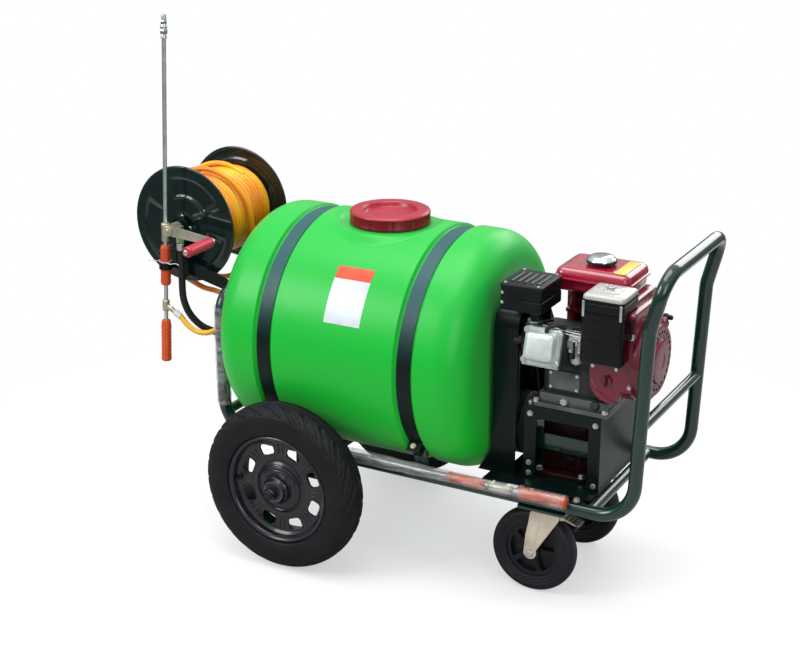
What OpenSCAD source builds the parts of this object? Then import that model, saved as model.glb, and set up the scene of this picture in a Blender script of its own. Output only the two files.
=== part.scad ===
// Wheeled sprayer cart: tube frame, 160 litre tank, hose reel, petrol engine and plunger pump.
// Millimetres, +Z up. The origin is on the floor, under the middle of the cart.
// +X points to the push handle. "near" pieces lie on the -Y side and "far" pieces on +Y.

/* [Main wheels] */
// Outside diameter of the main tyres
tyre_od = 420; // [396:1:440]
// Width of the main tyres
tyre_w = 92; // [84:1:100]
// Diameter over the rim flanges
rim_od = 272; // [262:1:284]
// Width over the rim flanges
rim_w = 78; // [70:1:82]
// Distance between the middle planes of the main wheels
track = 626; // [616:1:680]
// Diameter of the axle
axle_d = 25; // [20:1:28]
// Outside diameter of the wheel bearings
bearing_od = 52; // [46:1:56]
// Width of one wheel bearing
bearing_w = 15; // [12:1:17]
// Number of windows in a rim disc
window_count = 8; // [6:1:10]

/* [Casters] */
// Diameter of the caster wheels
caster_d = 210; // [190:1:212]
// Width of the caster wheels
caster_w = 46; // [40:1:50]
// Distance of the caster swivel axes behind the front of the stand
caster_reach = 81; // [54:1:104]
// Distance of a caster swivel axis from the middle of the cart
caster_y = 137; // [110:1:150]
// Distance from swivel axis to caster wheel axis
caster_trail = 40; // [34:1:46]
// Diameter of the caster axle bolts
caster_bolt_d = 12; // [10:1:14]

/* [Frame] */
// Diameter of the frame tube
tube_d = 32; // [28:1:34]
// Wall of the frame tube
tube_wall = 2; // [1.5:0.5:3]
// Height of the middle of the rails above the floor
rail_z = 257; // [257:1:262]
// Distance of a rail from the middle of the cart
rail_y = 191; // [186:1:196]
// Distance of the front posts ahead of the axle
post_x = 252; // [246:1:262]
// Height of the bar that joins the front posts
front_bar_z = 622; // [610:1:640]
// Distance of the handle uprights behind the stand, at the rails
upright_reach = 107; // [94:1:124]
// Radius of the bends at both ends of a rail
rail_bend = 90; // [80:1:100]
// Height at which the handle uprights kink backwards
kink_z = 711; // [690:1:730]
// Height of the push bar
bar_z = 838; // [820:1:860]
// Lean of the lower part of the uprights, in degrees
upright_lean = 2.2; // [0:0.1:4]
// Lean of the upper part of the uprights, in degrees
handle_lean = 14; // [10:1:20]
// Radius of the corner bends of the push bar and of the front bar
corner_bend = 55; // [50:1:64]
// Height of the brace between the uprights
brace_z = 484; // [470:1:520]
// Diameter of the brace and of the low cross tubes
cross_d = 25; // [22:1:28]

/* [Tank] */
// Radius of the tank
tank_r = 290; // [284:1:291]
// Height of the underside of the tank
tank_low = 240; // [239:1:250]
// Front end of the tank, ahead of the axle
tank_front = 221; // [214:1:223]
// Length of the tank
tank_len = 674; // [668:1:676]
// Radius of the rounded edges of the tank
tank_edge = 72; // [60:1:80]
// Wall of the tank
tank_wall = 5; // [4:0.5:6]
// Depth of the strap grooves
groove_depth = 9; // [7:1:11]
// Width of the strap grooves
groove_w = 46; // [42:1:52]
// Place of the filler behind the axle
filler_x = 122; // [110:1:134]
// Outside diameter of the filler neck
neck_d = 176; // [168:1:180]
// Diameter of the filler opening
mouth_d = 160; // [150:1:162]
// Outside diameter of the lid
lid_d = 196; // [194:1:204]
// Height of the lid
lid_h = 34; // [30:1:38]
// Height of the top of the lid above the top of the tank
lid_rise = 23; // [20:1:30]
// Width of the steel straps
strap_w = 36; // [30:1:40]
// Thickness of the steel straps
strap_t = 2.5; // [2:0.5:3]
// Place of the front strap, ahead of the axle
strap_front = 70; // [60:1:80]
// Place of the rear strap, behind the axle
strap_rear = 310; // [300:1:320]

/* [Hose reel] */
// Distance of the reel axis ahead of the main axle
reel_x = 402; // [396:1:414]
// Height of the reel axis
reel_z = 762; // [756:1:776]
// Diameter of the reel flanges
flange_d = 302; // [290:1:310]
// Thickness of the reel flanges
flange_t = 3; // [2:0.5:4]
// Distance between the outer faces of the flanges
reel_w = 250; // [244:1:254]
// Diameter of the reel core
core_d = 90; // [80:1:110]
// Diameter over the wound hose
wound_d = 222; // [200:1:226]
// Diameter of the reel shaft
shaft_d = 16; // [14:1:18]
// Place of the reel brackets from the middle of the cart
bracket_y = 144; // [142:1:146]
// Length of the crank arm between its two axes
crank_len = 128; // [120:1:140]
// Length of the crank grip
grip_len = 100; // [90:1:110]
// Diameter of the crank grip
grip_d = 27; // [24:1:30]

/* [Lance] */
// Length of the lance from the grip end to the nozzle tip
lance_len = 896; // [860:1:920]
// Diameter of the lance tube
lance_tube_d = 11; // [9:1:12]
// Diameter of the lance grips
lance_grip_d = 27; // [24:1:29]
// Distance of the lance from the middle of the cart
lance_y = 166; // [165:1:168]
// Lean of the lance, in degrees
lance_lean = 2.8; // [2:0.1:3.4]

/* [Engine and pump] */
// Height of the engine stand
stand_h = 187; // [180:1:192]
// Length of the engine stand
stand_l = 190; // [186:1:200]
// Width of the engine stand
stand_w = 254; // [240:1:270]
// Distance of the stand behind the tank
stand_gap = 93; // [87:1:99]
// Leg width of the angle iron
angle_w = 30; // [26:1:34]
// Thickness of the angle iron
angle_t = 4; // [3:0.5:5]
// Height of the crankshaft above the stand
crank_h = 134; // [128:1:138]
// Sideways place of the crankshaft
crank_y = -50; // [-54:1:-46]
// Diameter of the crankshaft stub
crank_d = 19; // [17:1:20]
// Diameter of the crankshaft pulley
drive_d = 76; // [70:1:90]
// Diameter of the pump pulley
driven_d = 152; // [140:1:160]
// Height of the pump shaft above the rails
pump_h = 96; // [90:1:104]
// Diameter of the recoil starter
recoil_d = 190; // [180:1:196]
// Outside diameter of the pressure hose
feed_d = 18; // [16:1:20]
// Outside diameter of the spray hose
spray_d = 14; // [12:1:15]

/* [Hidden] */
$fn = 48;

eps = 0.01;            // overlap that makes cuts clean
run_fit = 0.05;        // radial clearance of a running fit
gap = 0.3;             // clearance between pieces that don't touch
weld = 0.05;           // how far a weld ring stands proud of its tube

frame_green = [0.03, 0.17, 0.13];
tank_green = [0.20, 0.74, 0.28];
lid_red = [0.66, 0.06, 0.08];
engine_red = [0.62, 0.04, 0.12];
rubber_black = [0.07, 0.07, 0.08];
plastic_black = [0.10, 0.10, 0.11];
zinc = [0.80, 0.78, 0.70];
steel = [0.62, 0.63, 0.65];
alloy = [0.72, 0.74, 0.74];
hose_yellow = [0.95, 0.62, 0.10];
grip_orange = [0.85, 0.27, 0.08];

axle_z = tyre_od / 2;
wheel_y = track / 2;
tube_r = tube_d / 2;
rail_low = rail_z - tube_r;
rail_top = rail_z + tube_r;
stand_z = rail_top;
stand_top = stand_z + stand_h;
crank_z = stand_top + crank_h;
pump_z = rail_top + pump_h;
tank_z = tank_low + tank_r;
lid_top_z = tank_z + tank_r + lid_rise;
tank_end = tank_len - tank_front;
stand_x = tank_end + stand_gap;
caster_x = stand_x + caster_reach;
upright_x = stand_x + stand_l + upright_reach;
handle_x = upright_x + (kink_z - rail_z) * tan(upright_lean);
bar_x = handle_x + (bar_z - kink_z) * tan(handle_lean);
front_reach = reel_x + flange_d / 2;
rear_reach = bar_x + tube_r + weld;
// The main axle lies this far from the origin
axle_x = (front_reach - rear_reach) / 2;

// Places everything that is given from the main axle
module at(x = 0, y = 0, z = 0) {
    translate([axle_x + x, y, z]) children();
}

module mirror_y(far) {
    if (far) mirror([0, 1, 0]) children();
    else children();
}

module both_sides() {
    children();
    mirror([0, 1, 0]) children();
}

// ---- helpers: rods, bent tubes and hoses -------------------------------------------------

function unit(v) = v / norm(v);

function side_of(d) = unit(cross(abs(d.z) > 0.9 ? [1, 0, 0] : [0, 0, 1], d));

// A wall of 0 makes a solid bar, any other wall a tube
module ring(r, wall) {
    difference() {
        circle(r = r);
        if (wall > 0) circle(r = r - wall);
    }
}

// A round rod or straight tube from point a to point b
module rod(a, b, r, wall = 0) {
    d = unit(b - a);
    u = side_of(d);
    v = cross(d, u);
    multmatrix([[u.x, v.x, d.x, a.x], [u.y, v.y, d.y, a.y], [u.z, v.z, d.z, a.z], [0, 0, 0, 1]])
        linear_extrude(norm(b - a)) ring(r, wall);
}

function turn(p, i) = acos(unit(p[i] - p[i - 1]) * unit(p[i + 1] - p[i]));
function trim(p, i, bend) = (i == 0 || i == len(p) - 1) ? 0 : bend * tan(turn(p, i) / 2);

// The round stretch at corner i of a bent tube
module elbow(p, i, r, wall, bend) {
    u = unit(p[i] - p[i - 1]);
    w = unit(p[i + 1] - p[i]);
    n = unit(w - (u * w) * u);
    c = p[i] - u * trim(p, i, bend) + n * bend;
    k = cross(-n, u);
    multmatrix([[-n.x, u.x, k.x, c.x], [-n.y, u.y, k.y, c.y], [-n.z, u.z, k.z, c.z], [0, 0, 0, 1]])
        rotate_extrude(angle = turn(p, i)) translate([bend, 0]) ring(r, wall);
}

// A bar or tube that follows the points p, with bends of one radius. A weld ring, hardly
// proud of the tube, joins each straight stretch to the next bend.
module bent_tube(p, r, wall, bend) {
    n = len(p) - 1;
    for (i = [0 : n - 1]) {
        d = unit(p[i + 1] - p[i]);
        a = p[i] + d * trim(p, i, bend);
        b = p[i + 1] - d * trim(p, i + 1, bend);
        if ((b - a) * d > 2) {
            rod(a + d * (i == 0 ? 0 : 0.5), b - d * (i == n - 1 ? 0 : 0.5), r, wall);
            if (i > 0) rod(a - d, a + d, r + weld);
            if (i < n - 1) rod(b - d, b + d, r + weld);
        }
    }
    if (n > 1) for (i = [1 : n - 1]) elbow(p, i, r, wall, bend);
}

// A point of a smooth curve through the points p, at segment i and share t
function smooth(p, i, t) = let (
        n = len(p) - 1,
        a = p[max(i - 1, 0)], b = p[i], c = p[min(i + 1, n)], d = p[min(i + 2, n)])
    0.5 * (2 * b + (c - a) * t + (2 * a - 5 * b + 4 * c - d) * t * t
        + (3 * b - a - 3 * c + d) * t * t * t);

function curve(p, steps) = [
    for (i = [0 : len(p) - 2]) for (s = [0 : steps - 1]) smooth(p, i, s / steps),
    p[len(p) - 1]
];

// A hose swept along the curve q, whose side vector ref is never in line with it. Its two
// ends are cut square to the directions from and to.
module hose(q, d, ref, from, to, sides = 8) {
    n = len(q);
    pts = [
        for (i = [0 : n - 1]) let (
            t = i == 0 ? from : i == n - 1 ? to : unit(q[i + 1] - q[i - 1]),
            u = unit(cross(ref, t)), v = cross(t, u))
        for (k = [0 : sides - 1]) q[i] + (u * cos(360 * k / sides) + v * sin(360 * k / sides)) * d / 2
    ];
    walls = [
        for (i = [0 : n - 2]) for (k = [0 : sides - 1]) let (m = (k + 1) % sides)
            [i * sides + k, (i + 1) * sides + k, (i + 1) * sides + m, i * sides + m]
    ];
    polyhedron(pts, concat(walls, [
        [for (k = [0 : sides - 1]) k],
        [for (k = [sides - 1 : -1 : 0]) (n - 1) * sides + k]
    ]));
}

// A plate with rounded corners, lying flat on z = 0
module plate(x, y, t, r) {
    linear_extrude(t) for (i = [0, 1]) {
        square([x - 2 * r * i, y - 2 * r * (1 - i)], center = true);
        for (sx = [-1, 1], sy = [-1, 1])
            translate([sx * (x / 2 - r), sy * (y / 2 - r)]) circle(r);
    }
}

// A box given by its lowest and highest corner
module span(a, b) {
    translate(a) cube(b - a);
}

// A hexagon bolt head or nut on z = 0
module hex(af, h) {
    cylinder(h = h, d = af / cos(30), $fn = 6);
}

// Turns a piece that stands along +Z so that it points along +X, +Y or -Y
module along_x() { rotate([0, 90, 0]) children(); }
module along_y() { rotate([-90, 0, 0]) children(); }
module along_near() { rotate([90, 0, 0]) children(); }

// ---- frame --------------------------------------------------------------------------------

side_path = [
    [-post_x, -rail_y, front_bar_z - corner_bend],
    [-post_x, -rail_y, rail_z],
    [upright_x, -rail_y, rail_z],
    [handle_x, -rail_y, kink_z],
    [bar_x - corner_bend * sin(handle_lean), -rail_y, bar_z - corner_bend * cos(handle_lean)]
];

// One bent tube: front post, rail and handle upright
module side_tube(far) {
    color(frame_green) at() mirror_y(far) bent_tube(side_path, tube_r, tube_wall, rail_bend);
}

// The bar that is pushed, with its two corner bends
module push_bar() {
    start = side_path[4];
    top = [bar_x, -rail_y, bar_z];
    color(frame_green) at() bent_tube(
        [start, top, [top.x, rail_y, top.z], [start.x, rail_y, start.z]],
        tube_r, tube_wall, corner_bend);
}

front_bar = [
    [-post_x, -rail_y, front_bar_z - corner_bend], [-post_x, -rail_y, front_bar_z],
    [-post_x, rail_y, front_bar_z], [-post_x, rail_y, front_bar_z - corner_bend]
];
cross_r = cross_d / 2;
front_cross_turn = 66;
rear_crosses = [stand_x - 47, stand_x + stand_l + 6];

// Front bar, low cross tubes and handle brace, their ends shaped to the side tubes
module cross_tubes() {
    lean = [tan(upright_lean), 0, 1];
    foot = [upright_x, -rail_y, rail_z];
    cut = tube_r + weld;
    color(frame_green) at() {
        bent_tube(front_bar, tube_r, tube_wall, corner_bend);
        difference() {
            union() {
                cross_tube(-post_x + rail_bend * (1 - sin(front_cross_turn)),
                    rail_z + rail_bend * (1 - cos(front_cross_turn)));
                for (x = rear_crosses) cross_tube(x, rail_z);
                cross_tube(upright_x + (brace_z - rail_z) * tan(upright_lean), brace_z);
            }
            both_sides() {
                elbow(side_path, 1, cut, 0, rail_bend);
                rod([rear_crosses[0] - 60, -rail_y, rail_z], [rear_crosses[1] + 60, -rail_y, rail_z], cut);
                rod(foot + lean * (brace_z - rail_z - 60), foot + lean * (brace_z - rail_z + 60), cut);
            }
        }
    }
}

// A straight tube from side to side at height z
module cross_tube(x, z) {
    rod([x, -rail_y, z], [x, rail_y, z], cross_r, tube_wall);
}

hub_out = rim_w / 2 + 12;
nut_d = 20;
nut_h = 16;
axle_end = wheel_y + hub_out + 26;

// The fixed axle, stepped down for its two nuts
module axle() {
    step = wheel_y + hub_out - 2;
    color(steel) at(0, 0, axle_z) {
        translate([0, -step, 0]) along_y() cylinder(h = 2 * step, d = axle_d);
        translate([0, -axle_end, 0]) along_y() cylinder(h = 2 * axle_end, d = nut_d);
    }
}

bracket_l = 64;
bracket_w = 30;

// The two blocks that hang the axle under the rails
module axle_brackets() {
    color(frame_green) at() both_sides() difference() {
        span([-bracket_l / 2, -rail_y - bracket_w / 2, axle_z - axle_d],
             [bracket_l / 2, -rail_y + bracket_w / 2, rail_z]);
        translate([0, -rail_y - bracket_w, axle_z]) along_y() cylinder(h = 2 * bracket_w, d = axle_d);
        translate([-bracket_l, -rail_y, rail_z]) along_x() cylinder(h = 2 * bracket_l, r = tube_r);
    }
}

// ---- main wheels --------------------------------------------------------------------------

seat_r = rim_od / 2 - 9;
flange_in = rim_w / 2 - 5;
hub_r = bearing_od / 2 + 6;

// Half of the tyre's outline, from bead to crown, as [radius, half width]
function tyre_side(out, bead, half, s) = let (h = out - bead) [
    [bead, s * (flange_in - 0.4)], [bead + 0.13 * h, s * (flange_in - 0.2)],
    [bead + 0.28 * h, s * half * 0.94], [bead + 0.5 * h, s * half],
    [bead + 0.74 * h, s * half * 0.96], [bead + 0.88 * h, s * half * 0.82],
    [bead + 0.96 * h, s * half * 0.56], [bead + 0.99 * h, s * half * 0.28]
];
function reversed(v) = [for (i = [len(v) - 1 : -1 : 0]) v[i]];

module tyre(far) {
    out = tyre_od / 2;
    skin = 9;
    color(rubber_black) at(0, 0, axle_z) mirror_y(far) translate([0, -wheel_y, 0]) along_y()
        rotate_extrude() difference() {
            polygon(concat(tyre_side(out, seat_r + 0.2, tyre_w / 2, -1), [[out, 0]],
                reversed(tyre_side(out, seat_r + 0.2, tyre_w / 2, 1))));
            polygon(concat(tyre_side(out - skin, seat_r + skin, tyre_w / 2 - skin, -1),
                reversed(tyre_side(out - skin, seat_r + skin, tyre_w / 2 - skin, 1))));
            translate([seat_r - 5, -flange_in + 12]) square([skin + 10, 2 * flange_in - 24]);
        }
}

disc_t = 4;
disc_y = -14;

// Pressed steel rim, disc and hub; local z runs from the outside to the inside of the wheel
module rim(far) {
    fit_r = bearing_od / 2 + run_fit;
    window_r = seat_r - 29;
    dome_r = window_r - 31;
    top_y = disc_y - 16;
    color(plastic_black) at(0, 0, axle_z) mirror_y(far) translate([0, -wheel_y, 0]) along_y()
        difference() {
            rotate_extrude() {
                translate([seat_r - 4, -rim_w / 2]) square([4, rim_w]);
                for (s = [-rim_w / 2, flange_in]) translate([seat_r - 4, s]) square([13, 5]);
                polygon([
                    [hub_r - 2, top_y], [hub_r + 8, top_y + 1], [dome_r - 10, top_y + 7],
                    [dome_r, disc_y], [window_r + 17, disc_y], [seat_r - 2, disc_y - 8],
                    [seat_r - 2, disc_y - 8 + disc_t], [window_r + 17, disc_y + disc_t],
                    [dome_r, disc_y + disc_t], [dome_r - 12, top_y + 7 + disc_t],
                    [hub_r + 8, top_y + 1 + disc_t], [hub_r - 2, top_y + disc_t]
                ]);
                translate([fit_r, -hub_out]) square([hub_r - fit_r, 2 * hub_out - 16]);
            }
            for (i = [0 : window_count - 1]) rotate([0, 0, (i + 0.5) * 360 / window_count])
                translate([window_r, 0, disc_y - 12]) plate(28, 38, 30, 10);
        }
}

// Two ball bearings on each end of the axle, each drawn as a closed ring
module wheel_bearings() {
    color(steel) at(0, 0, axle_z) both_sides() for (s = [-hub_out, hub_out - 16 - bearing_w])
        translate([0, -wheel_y + s, 0]) along_y() difference() {
            cylinder(h = bearing_w, d = bearing_od);
            translate([0, 0, -1]) cylinder(h = bearing_w + 2, d = axle_d);
        }
}

// Nut and washer on each end of the axle
module axle_nuts() {
    washer_t = 3;
    color(zinc) at(0, 0, axle_z) both_sides() difference() {
        translate([0, -wheel_y - hub_out - gap, 0]) along_near() {
            cylinder(h = washer_t, d = axle_d * 1.5);
            translate([0, 0, washer_t]) hex(30, nut_h);
        }
        translate([0, -axle_end - 1, 0]) along_y() cylinder(h = 60, d = nut_d);
    }
}

// ---- casters ------------------------------------------------------------------------------

beam_t = 6;
top_t = 6;
race_h = 10;
crown_t = 5;
beam_z = rail_low - beam_t;
top_z = beam_z - top_t;
race_z = top_z - race_h;
crown_z = race_z - crown_t;
caster_r = caster_d / 2;
fork_gap = caster_w + 8;
leg_t = 4;
pivot_d = 16;
bolt_x = 42;
bolt_y = 32;

module at_caster(far) {
    at(caster_x, 0, 0) mirror_y(far) translate([0, -caster_y, 0]) children();
}

// Flat bar under both rails that carries the two casters
module caster_beam() {
    color(frame_green) at(caster_x, 0, beam_z) difference() {
        plate(120, 2 * (rail_y + tube_r), beam_t, 8);
        both_sides() for (sx = [-bolt_x, bolt_x], sy = [-bolt_y, bolt_y])
            translate([sx, -caster_y + sy, -1]) cylinder(h = beam_t + 2, d = 10);
    }
}

// Swivel plates with their upper race, pivot pin and four bolts each
module caster_plates() {
    color(zinc) for (far = [false, true]) at_caster(far) {
        translate([0, 0, top_z]) difference() {
            plate(110, 90, top_t, 10);
            for (sx = [-bolt_x, bolt_x], sy = [-bolt_y, bolt_y])
                translate([sx, sy, -1]) cylinder(h = 20, d = 8);
        }
        translate([0, 0, race_z + gap]) cylinder(h = race_h - gap, d = 62);
        translate([0, 0, crown_z - 1.5]) cylinder(h = race_h + 5, d = pivot_d);
        for (sx = [-bolt_x, bolt_x], sy = [-bolt_y, bolt_y]) translate([sx, sy, top_z - 5]) {
            hex(13, 5);
            cylinder(h = 5 + top_t + beam_t + 7, d = 8);
            translate([0, 0, 5 + top_t + beam_t]) hex(13, 6);
        }
    }
}

// The fork that turns under a swivel plate, with its axle bolt
module caster_fork(far) {
    low = caster_r;
    color(zinc) at_caster(far) difference() {
        union() {
            translate([-6, 0, crown_z]) plate(72, fork_gap + 2 * leg_t, crown_t, 10);
            for (s = [-1, 1]) translate([0, s * (fork_gap + leg_t) / 2 + leg_t / 2, 0])
                along_near() linear_extrude(leg_t) {
                    polygon([[-36, crown_z + 1], [30, crown_z + 1], [30, crown_z - 14],
                        [-caster_trail + 13, low], [-caster_trail - 13, low],
                        [-42, crown_z - 10]]);
                    translate([-caster_trail, low]) circle(13);
                }
            translate([-caster_trail, -fork_gap / 2 - leg_t - 8, low]) along_y() {
                hex(18, 8);
                cylinder(h = fork_gap + 2 * leg_t + 22, d = caster_bolt_d);
                translate([0, 0, fork_gap + 2 * leg_t + 8]) hex(18, 9);
            }
            for (s = [-1, 1]) translate([26, s * 20 - 2, crown_z - 12]) cube([14, 4, 13]);
        }
        translate([0, 0, crown_z - 1]) cylinder(h = crown_t + 2, d = pivot_d + 2 * run_fit);
        translate([34, -40, crown_z - 7]) along_y() cylinder(h = 80, d = 6);
    }
}

// Black rubber wheel with ribbed sides on a spoked hub
module caster_wheel(far) {
    r = caster_r;
    w = caster_w / 2;
    color(rubber_black) at_caster(far) translate([-caster_trail, 0, r]) along_y() difference() {
        union() {
            rotate_extrude() {
                polygon([[r * 0.62, -w + 5], [r * 0.68, -w + 3], [r * 0.88, -w], [r * 0.95, -w + 4],
                    [r, -w + 14], [r, w - 14], [r * 0.95, w - 4], [r * 0.88, w], [r * 0.68, w - 3],
                    [r * 0.62, w - 5]]);
                translate([caster_bolt_d / 2 + run_fit, -w - 1]) square([14, 2 * w + 2]);
                translate([r * 0.54, -w + 9]) square([r * 0.1, 2 * w - 18]);
            }
            for (i = [0 : 4]) rotate([0, 0, i * 72])
                translate([caster_bolt_d / 2 + 8, -5, -w + 10]) cube([r * 0.5, 10, 2 * w - 20]);
        }
        for (k = [0.73, 0.79], s = [-1, 1]) translate([0, 0, s * w]) difference() {
            cylinder(h = 3, r = r * k + 2.4, center = true);
            cylinder(h = 4, r = r * k, center = true);
        }
    }
}

// Foot pedal of a caster brake, on a pin through the fork's two lugs
module caster_brake(far) {
    color(zinc) at_caster(far) {
        translate([34, 0, crown_z - 7]) along_y() cylinder(h = 48, d = 6 - 4 * run_fit, center = true);
        translate([34, -17.7, crown_z - 7]) rotate([0, 18, 0]) {
            translate([-3, 0, -4]) cube([46, 35.4, 4]);
            translate([36, -5, -14]) cube([7, 45.4, 12]);
        }
    }
}

// ---- tank ---------------------------------------------------------------------------------

groove_r = tank_r - groove_depth;
strap_xs = [-strap_front, strap_rear];
strap_half = asin((rail_y + 29) / (groove_r + 15));
neck_z = lid_top_z - 15;
boss_z = lid_top_z - lid_h - 2;
boss_d = lid_d + 22;

// The tank's outline as [radius, distance behind its front end]
module tank_outline(inset) {
    r = tank_r - inset;
    e = tank_edge - inset;
    difference() {
        union() {
            translate([0, inset]) square([r - e, tank_len - 2 * inset]);
            translate([0, inset + e]) square([r, tank_len - 2 * (inset + e)]);
            for (z = [inset + e, tank_len - inset - e]) translate([r - e, z]) circle(e);
        }
        translate([-tank_r, 0]) square([tank_r, tank_len]);
        for (x = strap_xs) translate([r - groove_depth, tank_front + x - groove_w / 2 - inset])
            square([groove_depth + 1, groove_w + 2 * inset]);
    }
}

module tank_body(inset) {
    at(-tank_front, 0, tank_z) along_x() rotate_extrude() tank_outline(inset);
}

// Blow-moulded tank with its filler neck; the drain boss is on the rear end
module tank_shell() {
    color(tank_green) difference() {
        union() {
            difference() {
                tank_body(0);
                at(filler_x, 0, boss_z) cylinder(h = tank_r, d = boss_d);
            }
            at(filler_x, 0, tank_z) cylinder(h = boss_z - tank_z, d = boss_d);
            at(filler_x, 0, tank_z) cylinder(h = neck_z - tank_z, d = neck_d);
        }
        difference() {
            tank_body(tank_wall);
            at(filler_x, 0, boss_z - tank_wall) cylinder(h = tank_r, d = boss_d + 2 * tank_wall);
        }
        at(filler_x, 0, tank_z) cylinder(h = neck_z, d = mouth_d);
        at(tank_end - 60, drain_y, drain_z) along_x() cylinder(h = 80, d = drain_d);
    }
}

// Strap seats that carry the tank on the rails
module tank_saddles() {
    color(frame_green) for (x = strap_xs) difference() {
        union() {
            at(x, 0, tank_z) arc_band(groove_r, strap_t + 1.5, strap_w, -strap_half, strap_half);
            at(x, 0, 0) both_sides() {
                difference() {
                    span([-strap_w / 2 + 1, -rail_y - 4, rail_z],
                         [strap_w / 2 - 1, -rail_y + 4, tank_z - 120]);
                    translate([-strap_w, 0, tank_z]) along_x() cylinder(h = 2 * strap_w, r = groove_r + 2);
                }
                ear(-strap_half + 2.2);
            }
        }
        at(x - strap_w, 0, 0) both_sides() translate([0, -rail_y, rail_z])
            along_x() cylinder(h = 2 * strap_w, r = tube_r + weld);
        at(x, 0, 0) both_sides() strap_hole();
    }
}

// Part of a ring about the tank axis; angles run from straight down
module arc_band(r, t, w, a0, a1) {
    translate([w / 2, 0, 0]) rotate([0, -90, 0]) rotate([0, 0, 180 - a1])
        rotate_extrude(angle = a1 - a0) translate([r, 0]) square([t, w]);
}

ear_h = 26;
ear_t = 3;

// A flat ear that stands out from the tank at angle a from straight down, on the near side
module ear(a) {
    translate([0, 0, tank_z]) rotate([a, 0, 0])
        span([-strap_w / 2 + 1, -ear_t / 2, -groove_r - ear_h], [strap_w / 2 - 1, ear_t / 2, -groove_r - 1]);
}

module strap_hole() {
    translate([0, 0, tank_z]) rotate([-strap_half, 0, 0])
        translate([0, 30, -groove_r - ear_h / 2 - 2]) along_near() cylinder(h = 60, d = 9);
}

// Steel bands over the tank, with an ear at each end
module strap_bands() {
    color(frame_green) for (x = strap_xs) difference() {
        union() {
            at(x, 0, tank_z) arc_band(groove_r, strap_t, strap_w, strap_half + 2, 360 - strap_half - 2);
            at(x, 0, 0) both_sides() ear(-strap_half - 2.2);
        }
        at(x, 0, 0) both_sides() strap_hole();
    }
}

// Bolt and nut through each pair of ears
module strap_bolts() {
    reach = 21;
    color(zinc) for (x = strap_xs) at(x, 0, 0) both_sides()
        translate([0, 0, tank_z]) rotate([-strap_half, 0, 0])
            translate([0, reach, -groove_r - ear_h / 2 - 2]) along_near() {
                cylinder(h = 2 * reach, d = 8);
                translate([0, 0, 2]) hex(13, 5.5);
                translate([0, 0, 2 * reach - 7.5]) hex(13, 5.5);
            }
}

rib_count = 12;

// Screwed lid with a sunk bowl in its top
module tank_lid() {
    bowl_r = lid_d / 2 - 34;
    inner = neck_d / 2 + 2 * gap;
    low = lid_top_z - lid_h;
    color(lid_red) at(filler_x, 0, 0) difference() {
        union() {
            translate([0, 0, low]) cylinder(h = lid_h - 3, d = lid_d);
            translate([0, 0, low]) cylinder(h = lid_h, d = lid_d - 6);
            for (i = [0 : rib_count - 1]) rotate([0, 0, i * 360 / rib_count])
                translate([lid_d / 2 - 1, 0, low + 3]) cylinder(h = lid_h - 10, r = 3);
        }
        translate([0, 0, low - 1]) cylinder(h = neck_z + gap - low + 1, r = inner);
        translate([0, 0, lid_top_z - 9]) cylinder(h = 20, r = bowl_r);
    }
}

strainer_h = 120;

// Basket that hangs in the filler mouth
module filler_strainer() {
    r = mouth_d / 2 - 1.5;
    color(plastic_black) at(filler_x, 0, neck_z - strainer_h) difference() {
        cylinder(h = strainer_h - 2, r = r);
        translate([0, 0, 3]) cylinder(h = strainer_h, r = r - 3);
    }
}

// ---- reel ---------------------------------------------------------------------------------

flange_y = reel_w / 2;
arm_t = 8;
arm_y = bracket_y + 42;

module at_reel() {
    at(-reel_x, 0, reel_z) children();
}

// Two bent plates from the front bar up to the reel shaft, the near one with the lance clip
module reel_brackets() {
    t = 5;
    clip_up = 250;
    clip_r = lance_grip_d / 2 + gap;
    low = front_bar_z;
    tip = [-reel_x, 661];
    color(frame_green) at() both_sides() difference() {
        union() {
            translate([0, -bracket_y + t, 0]) along_near() linear_extrude(t) {
                polygon([[-post_x, low - 13], [-post_x, low + 16], [tip.x + 15, tip.y + 15],
                    [tip.x + 15, reel_z], [tip.x - 15, reel_z], [tip.x - 15, tip.y - 14]]);
                translate([-reel_x, reel_z]) circle(24);
            }
            translate([-reel_x, -bracket_y - 4, reel_z]) along_y() cylinder(h = 9 + t, r = 16);
        }
        translate([-reel_x, -bracket_y - 20, reel_z]) along_y()
            cylinder(h = 60, d = shaft_d + 2 * run_fit);
        bent_tube(front_bar, tube_r + weld, 0, corner_bend);
    }
    color(frame_green) difference() {
        union() {
            at_lance(clip_up) cylinder(h = 16, r = clip_r + 3);
            at() span([-reel_x - 34, -bracket_y - 9, 653], [-reel_x - 8, -bracket_y + t, 668]);
        }
        at_lance(clip_up - 10) cylinder(h = 40, r = clip_r);
    }
}

// Flanges, core and shaft of the reel
module reel_drum() {
    color(frame_green) at_reel() {
        translate([0, -arm_y - 14, 0]) along_y() cylinder(h = arm_y + 14 + bracket_y + 16, d = shaft_d);
        both_sides() translate([0, -flange_y, 0]) along_y() {
            cylinder(h = flange_t, d = flange_d);
            rotate_extrude() translate([flange_d / 2 - 2.5, 2.5]) circle(2.5);
            translate([0, 0, -2]) cylinder(h = 6, r = 30);
        }
        difference() {
            translate([0, -flange_y + 1, 0]) along_y() cylinder(h = reel_w - 2, d = core_d);
            translate([0, -flange_y + 4, 0]) along_y() cylinder(h = reel_w - 8, d = core_d - 6);
            translate([0, -flange_y, 0]) along_y() cylinder(h = reel_w, d = shaft_d - 1);
        }
        translate([0, -flange_y, 0]) along_y() cylinder(h = reel_w, d = shaft_d);
    }
}

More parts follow.
